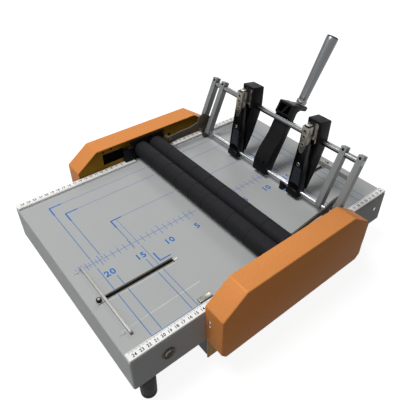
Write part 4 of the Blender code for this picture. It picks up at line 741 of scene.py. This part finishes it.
def both_staplers(*models, hinged=False):
    """Copies models onto both staplers and uses them up.

    A model is a piece, its name, finish and slot, and the CAD solid that it stands for; the slot is not
    used. It rides on the swinging frame, or on the hinged magazine.
    """
    for end, middle in STAPLERS:
        body = "magazine_" + end if hinged else "swing_frame"
        for model, name, finish, slot, *solids in models:
            piece = twin(model, "stapler_%s_%s" % (end, name))
            put(piece, ON_RAIL @ shift(0, middle, 0) @ (ON_MAGAZINE if hinged else SIDE))
            done(piece, finish, body, ["stapler_%s_%s" % (end, solid) for solid in solids])
    use_up(*[model[0] for model in models])


COVER_SIDE = [
    (9.9, 2.4), (11.4, 18), (14.8, 41.7), (13.3, 58), (19.4, 72.6), (22, 83.5), (22.7, 121), (48, 116.8),
    (46.9, 81), (43.3, 77.4), (43.3, 69), (29, 32), (12.7, 0),
]
POCKET_SIDE = [(-5, 8), (12, 8), (24.2, 36), (37.5, 72), (39.3, 82.3), (40.5, 114.8), (-5, 119.3)]
FOOT_SIDE = [(3.8, -6.5), (9.1, -6.5), (12.5, 0), (22, 18), (26, 24.2), (15.7, 24.2), (9, 6), (3.8, 4.2)]
SPINE_SIDE = [
    (6.4, 5), (6.9, 8), (9, 30), (11, 60), (12.6, 79), (21.5, 79), (16.5, 60), (16, 40), (13, 18), (11, 5),
]
cover = soften(plate("cover", COVER_SIDE, -13.5, 13.5), 2, 4, 40)
combine(cover, plate("pocket", POCKET_SIDE, -10.3, 10.3))
combine(cover, plate("foot", FOOT_SIDE, -10.5, 10.5), "UNION")
bore = turned("bore", [(5.3, -20), (5.3, 20)], 32)
combine(cover, put(bore, shift(SPAN * math.sin(LEAN), SPAN * math.cos(LEAN))))
combine(cover, block("slot", (42.6, 115.4, -4.2), (45.6, 125, 4.2)))
both_staplers((cover, "housing", black_abs, "plastic_black", "cover"))
spine = soften(plate("spine", SPINE_SIDE, -4.5, 4.5), 0.4, 2, 40)
both_staplers((spine, "spine", black_lacquer, "plastic_black"))

# %% [markdown]
# Inside the cover a nickel-plated channel shows its two cheeks. Their front edges are pressed in a wavy
# line. The cheeks and the web between them are three plates joined into one folded piece.

# %% Stapler channels
CHEEK = [
    (18.2, 83.5), (17.2, 88), (19.6, 93), (18.0, 98), (21.0, 104), (19.6, 109), (21.6, 114.3),
    (31.7, 112.5), (31.2, 90), (27.2, 83.5),
]
WEB = [(27.2, 83.5), (31.2, 90), (31.7, 112.5), (30.7, 112.7), (30.2, 90.4), (26.2, 84)]
channel = plate("channel", CHEEK, -9.8, -8.8)
join(channel, plate("cheek", CHEEK, 8.8, 9.8), plate("web", WEB, -9.8, 9.8))
soften(channel, 0.25, 2, 40)
both_staplers((channel, "cheeks", nickel, "nickel", "channel"))

# %% [markdown]
# The magazine stands in front, hinged on the lower rail. Seen from the front it tapers from a wide foot
# to the nose. Its face has a sunk panel with a blued plate, an arched recess with a near-black sheet in
# it that paints the recess's shade, and a ring rivet above them, and its foot block stands forward with
# rounded edges. Front views are even, so only their right half is written down.

# %% Stapler magazines
MAGAZINE_FACE = -5.9
RIVET_UP = 49


def even(half):
    """A front view from its right half, foot first."""
    foot, *rest = half
    return [(-foot[0], foot[1]), *half, *[(-x, y) for x, y in reversed(rest)]]


def arch(half_width, foot, spring, rise, steps=12):
    """A front view with straight legs and a round top."""
    top = [math.pi * i / steps for i in range(steps + 1)]
    return [(-half_width, foot), (half_width, foot)] + [
        (half_width * math.cos(a), spring + rise * math.sin(a)) for a in top
    ]


def facing_out(name, profile, height, depth, steps=32):
    """A turned piece on the middle line of a front view, pointing out of the face."""
    return put(turned(name, profile, steps), shift(0, height, depth) @ turn(180, "X"))


body = plate("magazine", even([(12.4, -10), (12.4, 8), (11, 40), (7.6, 86)]), -6, 5.4)
combine(body, plate("inside", even([(10.6, -8), (10.6, 8), (9.2, 40), (5.6, 84)]), -4, 9))
combine(body, plate("panel", even([(10.3, 7), (8.2, 38), (6.4, 43)]), -9, -5.3))
combine(body, plate("arch_recess", arch(9.5, 3, 8, 5), -9, -4.6))
soften(body, 0.7, 3, 40)
join(body, soften(plate("base", arch(12.2, -10.5, -2.4, 5), -8.8, -5), 1.4, 4, 40))
combine(body, put(turned("bore", [(3.9, -20), (3.9, 20)], 32), TO_RIGHT))
RING = [(3.2, 0), (3.2, 0.7), (2.8, 1.1), (2.0, 1.1), (1.7, 0.7), (1.7, 0.05)]
ring = facing_out("ring", RING, RIVET_UP, MAGAZINE_FACE)
face_plate = plate("face_plate", even([(8.9, 8), (7.3, 38), (5.9, 42.4)]), -5.8, -5.3)
combine(face_plate, plate("arch_hole", arch(9.5, 3, 8, 5), -9, -4))
soften(face_plate, 0.15, 2, 40)
# A thin near-black sheet in the arched recess paints the shade there
lining = soften(plate("lining", arch(9.4, 3.1, 8, 4.9), -4.9, -4.6), 0.1, 1, 40)
both_staplers(
    (body, "body", black_lacquer, "paint_black", "magazine"),
    (ring, "body_rivet", nickel, "steel"),
    (face_plate, "face_plate", blued_steel, "paint_black"),
    (lining, "arch_lining", shadow_black, "paint_black"),
    hinged=True,
)

# %% [markdown]
# The nose is bent from nickel-plated strip: a front that narrows downward over the magazine, two
# cheeks, a small bent tongue at the top, and three rivets with open centres. Near-black discs in the open
# centres of these and of the magazine's rivet, and a near-black block under the tongue, paint the shade
# there, as pieces of their own.

# %% Stapler noses
NOSE_FACE = -6.9
NOSE_FRONT = [
    (-6.4, 115), (-6.8, 98), (-6.4, 86), (-4.8, 75), (-2.6, 70), (2.6, 70), (4.8, 75), (6.4, 86), (6.8, 98),
    (6.4, 115),
]
NOSE_CHEEK = [
    (-6.6, 80), (-6.6, 115.2), (0, 116), (6.2, 114), (4.2, 107), (6.0, 101), (4.2, 95), (5.0, 88), (1, 80),
]
TONGUE = [(-4.4, -6.2), (3, -6.2), (4.2, -2), (4.2, 3.5), (-4.8, 3.5), (-4.8, -2)]
NOSE_RING = [(4.0, 0), (3.9, 0.35), (3.3, 0.7), (2.4, 0.7), (1.8, 0.35), (1.7, 0.1)]
nose = plate("nose", NOSE_FRONT, -7, -6)
for side in (-1, 1):
    join(nose, put(plate("cheek", NOSE_CHEEK, side * 6.3 - 0.5, side * 6.3 + 0.5), TO_LEFT))
join(nose, put(plate("tongue", TONGUE, 116.7, 117.9), TO_NEAR @ MIRRORED))
soften(nose, 0.3, 2, 40)
# Discs and a block in the painted recess shade stand for the shade in the holes and under the tongue
hole_shades = [facing_out("hole", [(1.7, 0.05), (1.7, 1.0), (1.4, 1.12)], RIVET_UP, MAGAZINE_FACE, 24)]
for height in (107.7, 98.2, 85.1):
    join(nose, facing_out("ring", NOSE_RING, height, NOSE_FACE))
    hole_shades.append(facing_out("hole", [(1.8, 0.05), (1.8, 0.4), (1.5, 0.45)], height, NOSE_FACE, 24))
hole_shades = join(*hole_shades, soften(block("tongue_notch_shade", (-4.4, 114.2, -6.6), (3, 116.9, -4.5)), 0.2, 2))
both_staplers(
    (face_out(nose), "snout", nickel, "nickel", "nose"),
    (face_out(hole_shades), "rivet_holes", shadow_black, "nickel"),
    hinged=True,
)

# %% [markdown]
# The table top carries a screen-printed scale: a fine line across the middle with a tick each
# centimetre and longer ones every five. Ink is a film, so each stroke is a block a few hundredths of a
# millimetre proud of the paint, and strokes that cross have different heights, so that their faces
# don't coincide. One stroke is a cube primitive at its size and place, a row of strokes is an applied
# array, and each kind of mark is joined into one piece.

# %% Printed strokes
FILM = 0.06
CLEAR_OF_ROLLERS = 30
CM = 10


def stroke(x0, y0, x1, y1, width, level=0.0, film=FILM):
    """A straight printed line from one point to another."""
    run = math.hypot(x1 - x0, y1 - y0)
    piece = block("stroke", (0, -width / 2, -film / 2), (run, width / 2, film))
    return put(piece, shift(x0, y0, level) @ Matrix.Rotation(math.atan2(y1 - y0, x1 - x0), 4, "Z"))


def row_of(piece, count, step):
    """Copies one mark in a row with an applied array."""
    gap = (step * MM, 0, 0)
    return modify(
        piece, "ARRAY", count=count, use_relative_offset=False, use_constant_offset=True,
        constant_offset_displace=gap,
    )


def printed(pieces, name, ink):
    """Joins the strokes of one mark and finishes them as an ink film on the base."""
    piece = join(*pieces)
    piece.name = name
    piece.data.name = name
    return done(put(piece, STANDING), ink, "base")


# The ticks: first place, half length, width, film, count and step
SCALE_TICKS = ((40, 7.4, 0.9, 0.045, 20, CM), (50, 11, 1.0, 0.055, 4, 5 * CM), (205, 5.5, 0.8, 0.05, 4, CM))
scale_marks = []
for side in (-1, 1):
    scale_marks.append(stroke(side * CLEAR_OF_ROLLERS, 0, side * 239, 0, 0.9, film=0.035))
    for at, half, width, film, count, step in SCALE_TICKS:
        tick = stroke(side * at, -half, side * at, half, width, film=film)
        scale_marks.append(row_of(tick, count, side * step))
printed(scale_marks, "table_scale_ticks", thin_blue_ink)

# %% [markdown]
# Sheet corners: a bold L at the far corner of each size, and fine lines from it toward the rollers and
# toward the operator. Three sizes have corners beyond the scale line, and a small one turns the other
# way. The right table mirrors the left. A long line stops at the stop's slot and goes on behind it.

# %% Sheet corners and edge lines
NEAR_LINE = -148.5
SMALL_SHEET, SMALL_CORNER = 139.7, -53.5
CORNERS = ((210, 148.5, 20), (195, 121.5, 20), (148.5, 61.5, 18))
SLOTS = {-1: (119, -60.25, -68.75), 1: (150, -44.25, -52.75)}
bold, long_lines, cross_lines = [], [], []
for side in (-1, 1):
    slot_start, slot_far, slot_near = SLOTS[side]
    for edge, start in ((210, -11), (195, -39), (148.5, -39), (SMALL_SHEET, -11)):
        width = 0.9 if edge == SMALL_SHEET else 1.1
        runs = [(start, NEAR_LINE + 1)]
        if edge > slot_start:
            runs = [(start, slot_far), (slot_near, NEAR_LINE + 1)]
        for high, low in runs:
            long_lines.append(stroke(side * edge, high, side * edge, low, width))
    for edge, corner_y, arm in CORNERS:
        x = side * edge
        bold.append(stroke(x - side * 1.1, corner_y, x - side * arm, corner_y, 2.2, film=0.08))
        bold.append(stroke(x, corner_y + 1.1, x, corner_y - arm, 2.2, film=0.09))
        inner = side * CLEAR_OF_ROLLERS
        cross_lines.append(stroke(x - side * arm, corner_y, inner, corner_y, 0.9, film=0.04))
        long_lines.append(stroke(x, corner_y - arm, x, 9, 1.1))
        long_lines.append(stroke(x, 7, x, 2, 1.1))
    long_lines.append(stroke(side * SMALL_SHEET, 61.5, side * SMALL_SHEET, 4, 0.7))
    long_lines.append(stroke(side * 210, NEAR_LINE, side * 100, NEAR_LINE, 0.8, film=0.075))
    bold.append(stroke(side * 135, SMALL_CORNER, side * 116, SMALL_CORNER, 2.0))
    bold.append(stroke(side * 134, SMALL_CORNER, side * 134, -35, 2.0, film=0.08))
    for edge in (210, 195, 148.5, SMALL_SHEET):
        long_lines.append(stroke(side * edge, -2, side * edge, -8, 0.8, film=0.085))
printed(bold, "sheet_corner_marks", blue_ink)
printed(long_lines, "sheet_long_lines", fine_blue_ink)
printed(cross_lines, "sheet_cross_lines", thin_blue_ink)

# %% [markdown]
# The numbers are text objects, which Blender can turn into a mesh. Extrude gives them the film's
# thickness and offset makes the strokes bold. The mesh is centred on its own box before it is placed.

# %% Printed numbers
DIGIT_SHARE = 0.73
LETTER_GAP = 1.12


def number(text, height, weight, level=0.0, film=FILM):
    """A number as a mesh, centred on the origin, with digits of this height."""
    bpy.ops.object.select_all(action="DESELECT")
    bpy.ops.object.text_add()
    made = bpy.context.object.data
    made.body = text
    made.size = height / DIGIT_SHARE * MM
    made.extrude = film / 2 * MM
    made.offset = weight * MM
    made.resolution_u = 3
    made.space_character = LETTER_GAP
    bpy.ops.object.convert(target="MESH")
    piece = fresh("number")
    low = [min(v.co[i] for v in piece.data.vertices) for i in (0, 1)]
    high = [max(v.co[i] for v in piece.data.vertices) for i in (0, 1)]
    return put(piece, Matrix.Translation((-(low[0] + high[0]) / 2, -(low[1] + high[1]) / 2, level * MM)))


def squeeze(piece, share):
    """Narrows a piece across."""
    choose(piece)
    edit_all()
    bpy.ops.transform.resize(value=(share, 1, 1), center_override=(0, 0, 0))
    bpy.ops.object.mode_set(mode="OBJECT")
    return piece


big_numbers = []
for side in (-1, 1):
    for value in (5, 10, 15, 20):
        big_numbers.append(put(number(str(value), 11, 0.36), shift(side * value * CM, -29)))
printed(big_numbers, "table_numbers", blue_ink)

# %% [markdown]
# The ruler strips lie along both edges with a number each centimetre, measured from the fold line, and
# ticks of three lengths along the inner edge. One set of ticks is an array of a single stroke.

# %% Ruler prints
RULER_TOP = 3.8
RULER_FILM = 0.05
TICK_START = 0.7
# The ticks: how far they reach in from the strip's edge, width, count and step
RULER_TICKS = ((2.4, 0.22, 206, 1), (3.3, 0.3, 42, 5), (4.2, 0.4, 21, CM))
ruler_marks = []
for inner, way, digit_y in ((-151.2, -1, -158.6), (173.2, 1, 180.6)):
    for side in (-1, 1):
        x = side * 4 * CM
        for reach, width, count, step in RULER_TICKS:
            low, high = inner + way * TICK_START, inner + way * reach
            tick = stroke(x, low, x, high, width, RULER_TOP, RULER_FILM)
            ruler_marks.append(row_of(tick, count, side * step))
        for value in range(4, 25):
            digits = squeeze(number(str(value), 4.6, 0.18, RULER_TOP, RULER_FILM), 0.9)
            ruler_marks.append(put(digits, shift(side * value * CM, digit_y)))
printed(ruler_marks, "ruler_numbers_and_ticks", black_ink)

# %% [markdown]
# Each paper stop is a bright bar that slides along a slot and is clamped by a nut. The left bar is a
# square rod with dark rounded ends; the right one is a thin upright strip. A lug joins the bar to the
# stud of the slider, whose foot runs under the table. The nut is turned, and then knurled by pulling
# every second face of its side inward.

# %% Paper stops
CLAMP_OUT = 7.5
UNDER_BAR = 0.3
LUG_OUT, LUG_HALF, LUG_TOP = 11.3, 4, 1.8
KNURL_EDGE, KNURL_DEEP = 0.15, 0.35
NUT_SIDES, LEAST_WALL = 24, 2
LEFT_STOP = (-227.5, -64.5)
# A stop: its hand, place, half length, half width, height, rounding and the side its clamp is on
STOPS = (
    ("left", *LEFT_STOP, 66.7, 1.8, 4.2, 0.8, -1),
    ("right", 225, -48.5, 51.5, 1, 9, 0.25, 1),
)


def clamp_nut(name):
    """A turned nut with every second face of its side pulled in."""
    profile = [(3.1, 2.0), (3.6, 2.5), (3.6, 5.9), (3.1, 6.4), (2.0, 6.4), (2.0, 6.0)]
    nut = turned(name, profile, NUT_SIDES)

    def knurled(face):
        place = math.floor(math.atan2(face.center.y, face.center.x) / math.tau * NUT_SIDES)
        return abs(face.normal.z) < 0.1 and face.area > LEAST_WALL * MM * MM and place % 2 == 0

    edit_faces(nut, knurled)
    bpy.ops.mesh.inset(thickness=KNURL_EDGE * MM, depth=-KNURL_DEEP * MM, use_individual=True)
    bpy.ops.object.mode_set(mode="OBJECT")
    return nut


def fitting(name, low, high, rounding, steps, finish, place=STANDING, body="base"):
    """A block with rounded edges, put in its place and finished."""
    return done(put(soften(block(name, low, high), rounding, steps), place), finish, body)


for hand, x, y, reach, half, tall, rounding, side in STOPS:
    stop, clamp = "stop_" + hand, STANDING @ shift(x + side * CLAMP_OUT, y)
    bar = block(stop + "_strip", (-half, -reach, UNDER_BAR), (half, reach, UNDER_BAR + tall))
    soften(bar, rounding, 4)
    inner, outer = sorted((side * half / 2, side * LUG_OUT))
    lug = soften(block("lug", (inner, -LUG_HALF, UNDER_BAR), (outer, LUG_HALF, LUG_TOP)), 0.5, 3)
    combine(lug, put(turned("hole", [(2.1, -2), (2.1, 5)], 24), shift(side * CLAMP_OUT)))
    put(join(bar, lug), STANDING @ shift(x, y))
    done(bar, steel, stop, [stop + "_bar"])
    done(put(clamp_nut(stop + "_nut"), clamp), black_nylon, stop + "_clamp", [stop + "_knob"])
    stud = turned(stop + "_slider_stud", [(1.9, -3.8), (1.9, 6.5), (1.5, 6.9), (0.6, 6.9)], 24)
    join(stud, soften(block("foot", (-8, -8, -5.8), (8, 8, -1.8)), 0.6, 3))
    done(put(stud, clamp), steel, stop, [stop + "_slider"])
for end, side in (("near", -1), ("far", 1)):
    place = STANDING @ shift(LEFT_STOP[0], LEFT_STOP[1] + side * 65.6)
    low, high = (-2.1, -1.6, 0.15), (2.1, 1.6, 4.7)
    fitting("stop_left_end_" + end, low, high, 1.2, 4, aluminium, place, "stop_left")

# %% [markdown]
# Through the left slot the eye meets the brown floor of the guide channel, brighter along its near edge.
# Both are coatings thinner than the slider's play, so the stop still slides over them. A dark film along
# the slot's far border paints shade there, and a pale film along its near border paints its edge's
# highlight. A small cross-head screw marks the slot's end, two low bosses stand beside the bar's ends,
# and a fine pale line runs across.

# %% Slot channel and small marks of the left table
SLOT_LEFT, SLOT_RIGHT = -237.4, -119.4
EDGE_RIGHT = SLOT_RIGHT + 1.4
FLOOR = -6.1
COAT = FLOOR + 0.02


def cross_screw(name, radius, tall):
    """A domed head whose cross recess is cut with two thin blocks."""
    dome = [(radius, 0), (radius, tall * 0.35), (radius * 0.8, tall * 0.8), (radius * 0.4, tall)]
    head = turned(name, dome, 28)
    for quarter in (0, 90):
        low = (-radius * 0.55, -radius * 0.1, tall * 0.35)
        high = (radius * 0.55, radius * 0.1, tall * 2)
        combine(head, put(block("slot", low, high), turn(quarter + 20, "Z")))
    return head


for name, low, high, rounding, finish, slot in (
    ("channel_far", (-61.6, COAT), (SLOT_RIGHT, -56.5, FLOOR + 0.16), 0.03, phosphated_steel, "paint_black"),
    # Two films on the table paint the slot's border: shade along the far side, a highlight along the near
    # side
    ("painted_shade_far", (-60.2, 0.01), (EDGE_RIGHT, -58.7, 0.05), 0.015, phosphated_steel, "paint_black"),
    ("painted_highlight_near", (-70.1, 0.01), (EDGE_RIGHT, -68.8, 0.05), 0.015, pale_line_and_highlight_paint, "paint_grey"),
    ("channel_lip", (-67, COAT), (SLOT_RIGHT, -61.9, FLOOR + 0.14), 0.03, steel, "steel"),
):
    fitting("slot_" + name, (SLOT_LEFT, *low), high, rounding, 1, finish)
end_screw = put(cross_screw("slot_end_screw", 2.6, 1.2), STANDING @ shift(-116.2, LEFT_STOP[1]))
done(end_screw, zinc, "base")
along = STANDING @ shift(-235.5, -121) @ turn(1.4, "Z")
fitting("pale_table_line", (0, -0.6, 0.01), (122, 0.6, 0.06), 0.02, 1, pale_line_and_highlight_paint, along)
for end, y in (("far", -1), ("near", -124)):
    place = STANDING @ shift(-236, y)
    low, high = (-3.4, -1.8, 0.0), (3.4, 1.8, 0.6)
    fitting("table_boss_" + end, low, high, 0.55, 4, grey_powder, place)

# %% [markdown]
# A small black saddle stands on the table under the lower rail, between the near stapler and the
# printed line, and keeps the long rail from sagging. It is a block whose top is hollowed to the rail.

# %% Rail saddle
saddle = plate("rail_saddle", even([(6, -14.6), (6, -12), (4.6, -9), (4.6, -0.4)]), -4, 4)
combine(saddle, turned("bore", [(3.55, -9), (3.55, 9)], 32))
soften(put(saddle, SIDE), 0.6, 3)
put(saddle, STANDING @ shift(HINGE[0], -46, HINGE[1]))
done(saddle, black_nylon, "base")

# %% [markdown]
# The foot-switch socket is a dark metal ring with a black insert and a bright contact that is open on
# one side. Each is turned along its own axis and put in the near skirt.

# %% Foot-switch socket
TO_OPERATOR = STANDING @ shift(-198.5, TABLE_NEAR, -28.8) @ TO_NEAR
BEZEL = [
    (9.4, 0.15), (9.4, 0.6), (8.8, 1.0), (8.8, 2.0), (8.2, 2.5), (7.4, 2.5), (6.6, 1.2), (5.5, 0.6),
    (5.5, -9.3), (1.2, -9.4),
]
bezel = put(turned("socket_bezel", BEZEL), TO_OPERATOR)
done(bezel, phosphated_steel, "base", ["foot_switch_socket"])
INSERT = [(5.4, -9.2), (5.4, -1.2), (5.0, -0.8), (2.1, -0.8), (1.9, -1.2), (1.9, -8)]
done(put(turned("socket_insert", INSERT, 40), TO_OPERATOR), black_nylon, "base")
CONTACT = [(5.0, -1.0), (5.0, 0.9), (4.6, 1.4), (3.6, 1.4), (3.2, 1.0), (3.2, -0.9)]
contact = combine(turned("socket_contact", CONTACT, 40), block("gap", (-6, -6, -4), (6, 0.6, 3)))
done(put(contact, TO_OPERATOR @ turn(35, "Z")), steel, "base")

# %% [markdown]
# A rubber foot stands on a post that reaches up to the table. It is turned with a flange at the top and
# a moulded bead at the tip. One is modelled and copied to the four corners.

# %% Feet
POST_TOP = -1.9
FOOT = [
    (8.6, DESK), (9.6, DESK + 0.4), (11, DESK + 2.5), (11.2, DESK + 8), (10.9, DESK + 9), (11.3, DESK + 10),
    (12, -54), (12, -52), (11.4, -51), (6, -51), (6, POST_TOP),
]
foot = turned("foot", FOOT, 40)
for depth, y in (("near", -149.5), ("far", 146)):
    for hand, x in (("left", -225), ("right", 225)):
        corner = depth + "_" + hand
        piece = put(twin(foot, "rubber_foot_" + corner), STANDING @ shift(x, y))
        done(piece, foot_rubber, "base", ["foot_" + corner])
use_up(foot)

# %% [markdown]
# Cross-head screws hold the covers and the skirts, and black housings close the roller ends. The screws
# are written in one table, with the way that each head points, and made by the same tool as before.

# %% Screws and roller housings
SCREWS = (
    ("cover_screw_upper", -140, -172.5, -9, TO_LEFT, 2.4),
    ("cover_screw_lower", -140, -172.5, -17.5, TO_LEFT, 2.4),
    ("cover_screw_back_upper", 150, -172.5, -9, TO_RIGHT, 2.4),
    ("cover_screw_back_lower", 150, -172.5, -17.5, TO_RIGHT, 2.4),
    ("far_cover_screw_front", -140, 196.5, -13, TO_LEFT, 2.4),
    ("far_cover_screw_back", 150, 196.5, -13, TO_RIGHT, 2.4),
    ("far_skirt_screw_left", -225, TABLE_FAR, -24, TO_FAR, 3),
    ("near_skirt_screw_right", 225, TABLE_NEAR, -24, TO_NEAR, 3),
)
for name, x, y, z, way, radius in SCREWS:
    screw = put(cross_screw(name, radius, 1.5), STANDING @ shift(x, y, z) @ way)
    done(screw, zinc, "base")
for end, near, far in (("near", -164.1, -160.95), ("far", 182.95, 186.1)):
    low, high = (-33.3, near, 1.0), (33.3, far, 36.3)
    fitting("roller_housing_" + end, low, high, 1.2, 3, black_nylon)

# %% [markdown]
# On the far side plate a stepped block and a strip carry the rollers' bearings, and small screws in the
# painted recess shade hold them and show as dark dots. A near-black sheet behind the window paints the
# shade seen through it. These are blocks with rounded edges; the step is cut from the block's upper corner.

# %% Bearing block, strip and plate screws
wall_block = soften(block("bearing_block_far", (-52, 178.2, 0.6), (-33, TABLE_FAR, 31)), 1.2, 3)
combine(wall_block, block("step", (-56, 170, 26), (-44, 182.5, 36)))
done(put(wall_block, STANDING), black_nylon, "base")
low, high = (-36, 183, 34.6), (36, TABLE_FAR, 38.4)
fitting("bearing_strip_far", low, high, 0.6, 2, black_paint)
PLATE_SCREWS = ((-73, 38.4, 1.7), (-88.7, 36.6, 1.7), (-31, 40.5, 1.5), (48.6, 22.6, 2.4))
for number_on_plate, (x, z, radius) in enumerate(PLATE_SCREWS, 1):
    screw = cross_screw("plate_screw_%d" % number_on_plate, radius, 0.8)
    put(screw, STANDING @ shift(x, TABLE_FAR, z) @ TO_NEAR)
    done(screw, shadow_black, "base")
# A near-black sheet behind the plate's window paints the shade seen through it
low, high = (-92.5, 190.4, 8), (-47, 191.4, 34.5)
fitting("window_shade_sheet_far", low, high, 0.3, 2, shadow_black)

# %% [markdown]
# A small nickel-plated tab beside the near cover guides the sheet's edge. It is bent up at its outer
# end, so it is a flat block and a narrow, taller one, joined.

# %% Guide tab
tab = soften(block("bent_guide_tab", (-136, -148.5, 0.3), (-116, -141, 2.8)), 0.6, 3)
join(tab, soften(block("lip", (-136, -148.5, 0.3), (-134.6, -141, 3.6)), 0.4, 2))
done(put(tab, STANDING), nickel, "base", ["guide_tab"])

# %% [markdown]
# The floor is a plain pale sheet. It is lit like the machine and keeps its shadow, and a little glow
# that only the camera, reflections and refractions see lifts it to the white of the picture. The world
# does the same: it is white where it is seen, and a weak even light elsewhere.

# %% Floor and world
FLOOR_METRES = 14
GLOW = 0.9
EVEN_LIGHT = 0.09


def where_seen(owner, **settings):
    """Adds up the rays that look at a surface: camera, glossy and transmission rays."""
    rays = add_node(owner, "ShaderNodeLightPath").outputs
    seen = rays["Is Camera Ray"]
    for kind in ("Is Glossy Ray", "Is Transmission Ray"):
        both = add_node(owner, "ShaderNodeMath", {0: seen, 1: rays[kind]}, operation="ADD", **settings)
        seen = both.outputs[0]
    return seen


bpy.ops.mesh.primitive_plane_add(size=FLOOR_METRES, location=(0, 0, 0))
floor = bpy.context.object
floor.name = "floor"
paper = new_finish("pale_paper_floor", "#7E7E7E", 0.9)
shader = paper.node_tree.nodes["Principled BSDF"]
shader.inputs["Emission Color"].default_value = (1, 1, 1, 1)
glow = add_node(paper, "ShaderNodeMath", {0: where_seen(paper), 1: GLOW}, operation="MULTIPLY")
paper.node_tree.links.new(glow.outputs[0], shader.inputs["Emission Strength"])
floor.data.materials.append(paper)

world = bpy.data.worlds.new("studio")
bpy.context.scene.world = world
world.use_nodes = True
sky = world.node_tree.nodes["Background"]
sky.inputs["Color"].default_value = (1, 1, 1, 1)
seen = where_seen(world, use_clamp=True)
level = add_node(world, "ShaderNodeMapRange", {"Value": seen, "To Min": EVEN_LIGHT, "To Max": 1.0})
world.node_tree.links.new(level.outputs["Result"], sky.inputs["Strength"])
bpy.context.scene.view_settings.view_transform = "Standard"
print("even light:", EVEN_LIGHT)

# %% [markdown]
# Four square lamps shape the machine. A big one high overhead is the main light and gives the covers
# their bright folds. One behind lays a sheen on the rollers and covers, a small low one on the left is
# mirrored along the handle tube, and another, high and far on the left, glints on the rails.

# %% Lamps


def add_lamp(name, place, aim, size, power):
    """A square soft lamp; place and aim are millimetres in working measurements."""
    bpy.ops.object.light_add(type="AREA")
    lamp = bpy.context.object
    lamp.name = name
    lamp.data.size = size * MM
    lamp.data.energy = power
    lamp.location = home + Vector(place) * MM
    lamp.rotation_euler = (Vector(aim) - Vector(place)).to_track_quat("-Z", "Y").to_euler()
    print("lamp:", name, power, "W")


add_lamp("key_overhead", (-640, 240, 1840), (0, 0, 0), 800, 32)
add_lamp("sheen_behind", (1000, 900, 1120), (0, 0, 0), 520, 6)
add_lamp("strip_left", (-1094, -648, 428), (236, 7, 166), 200, 1.4)
add_lamp("glint_left", (-1220, 960, 1430), (0, 0, 0), 350, 2.5)
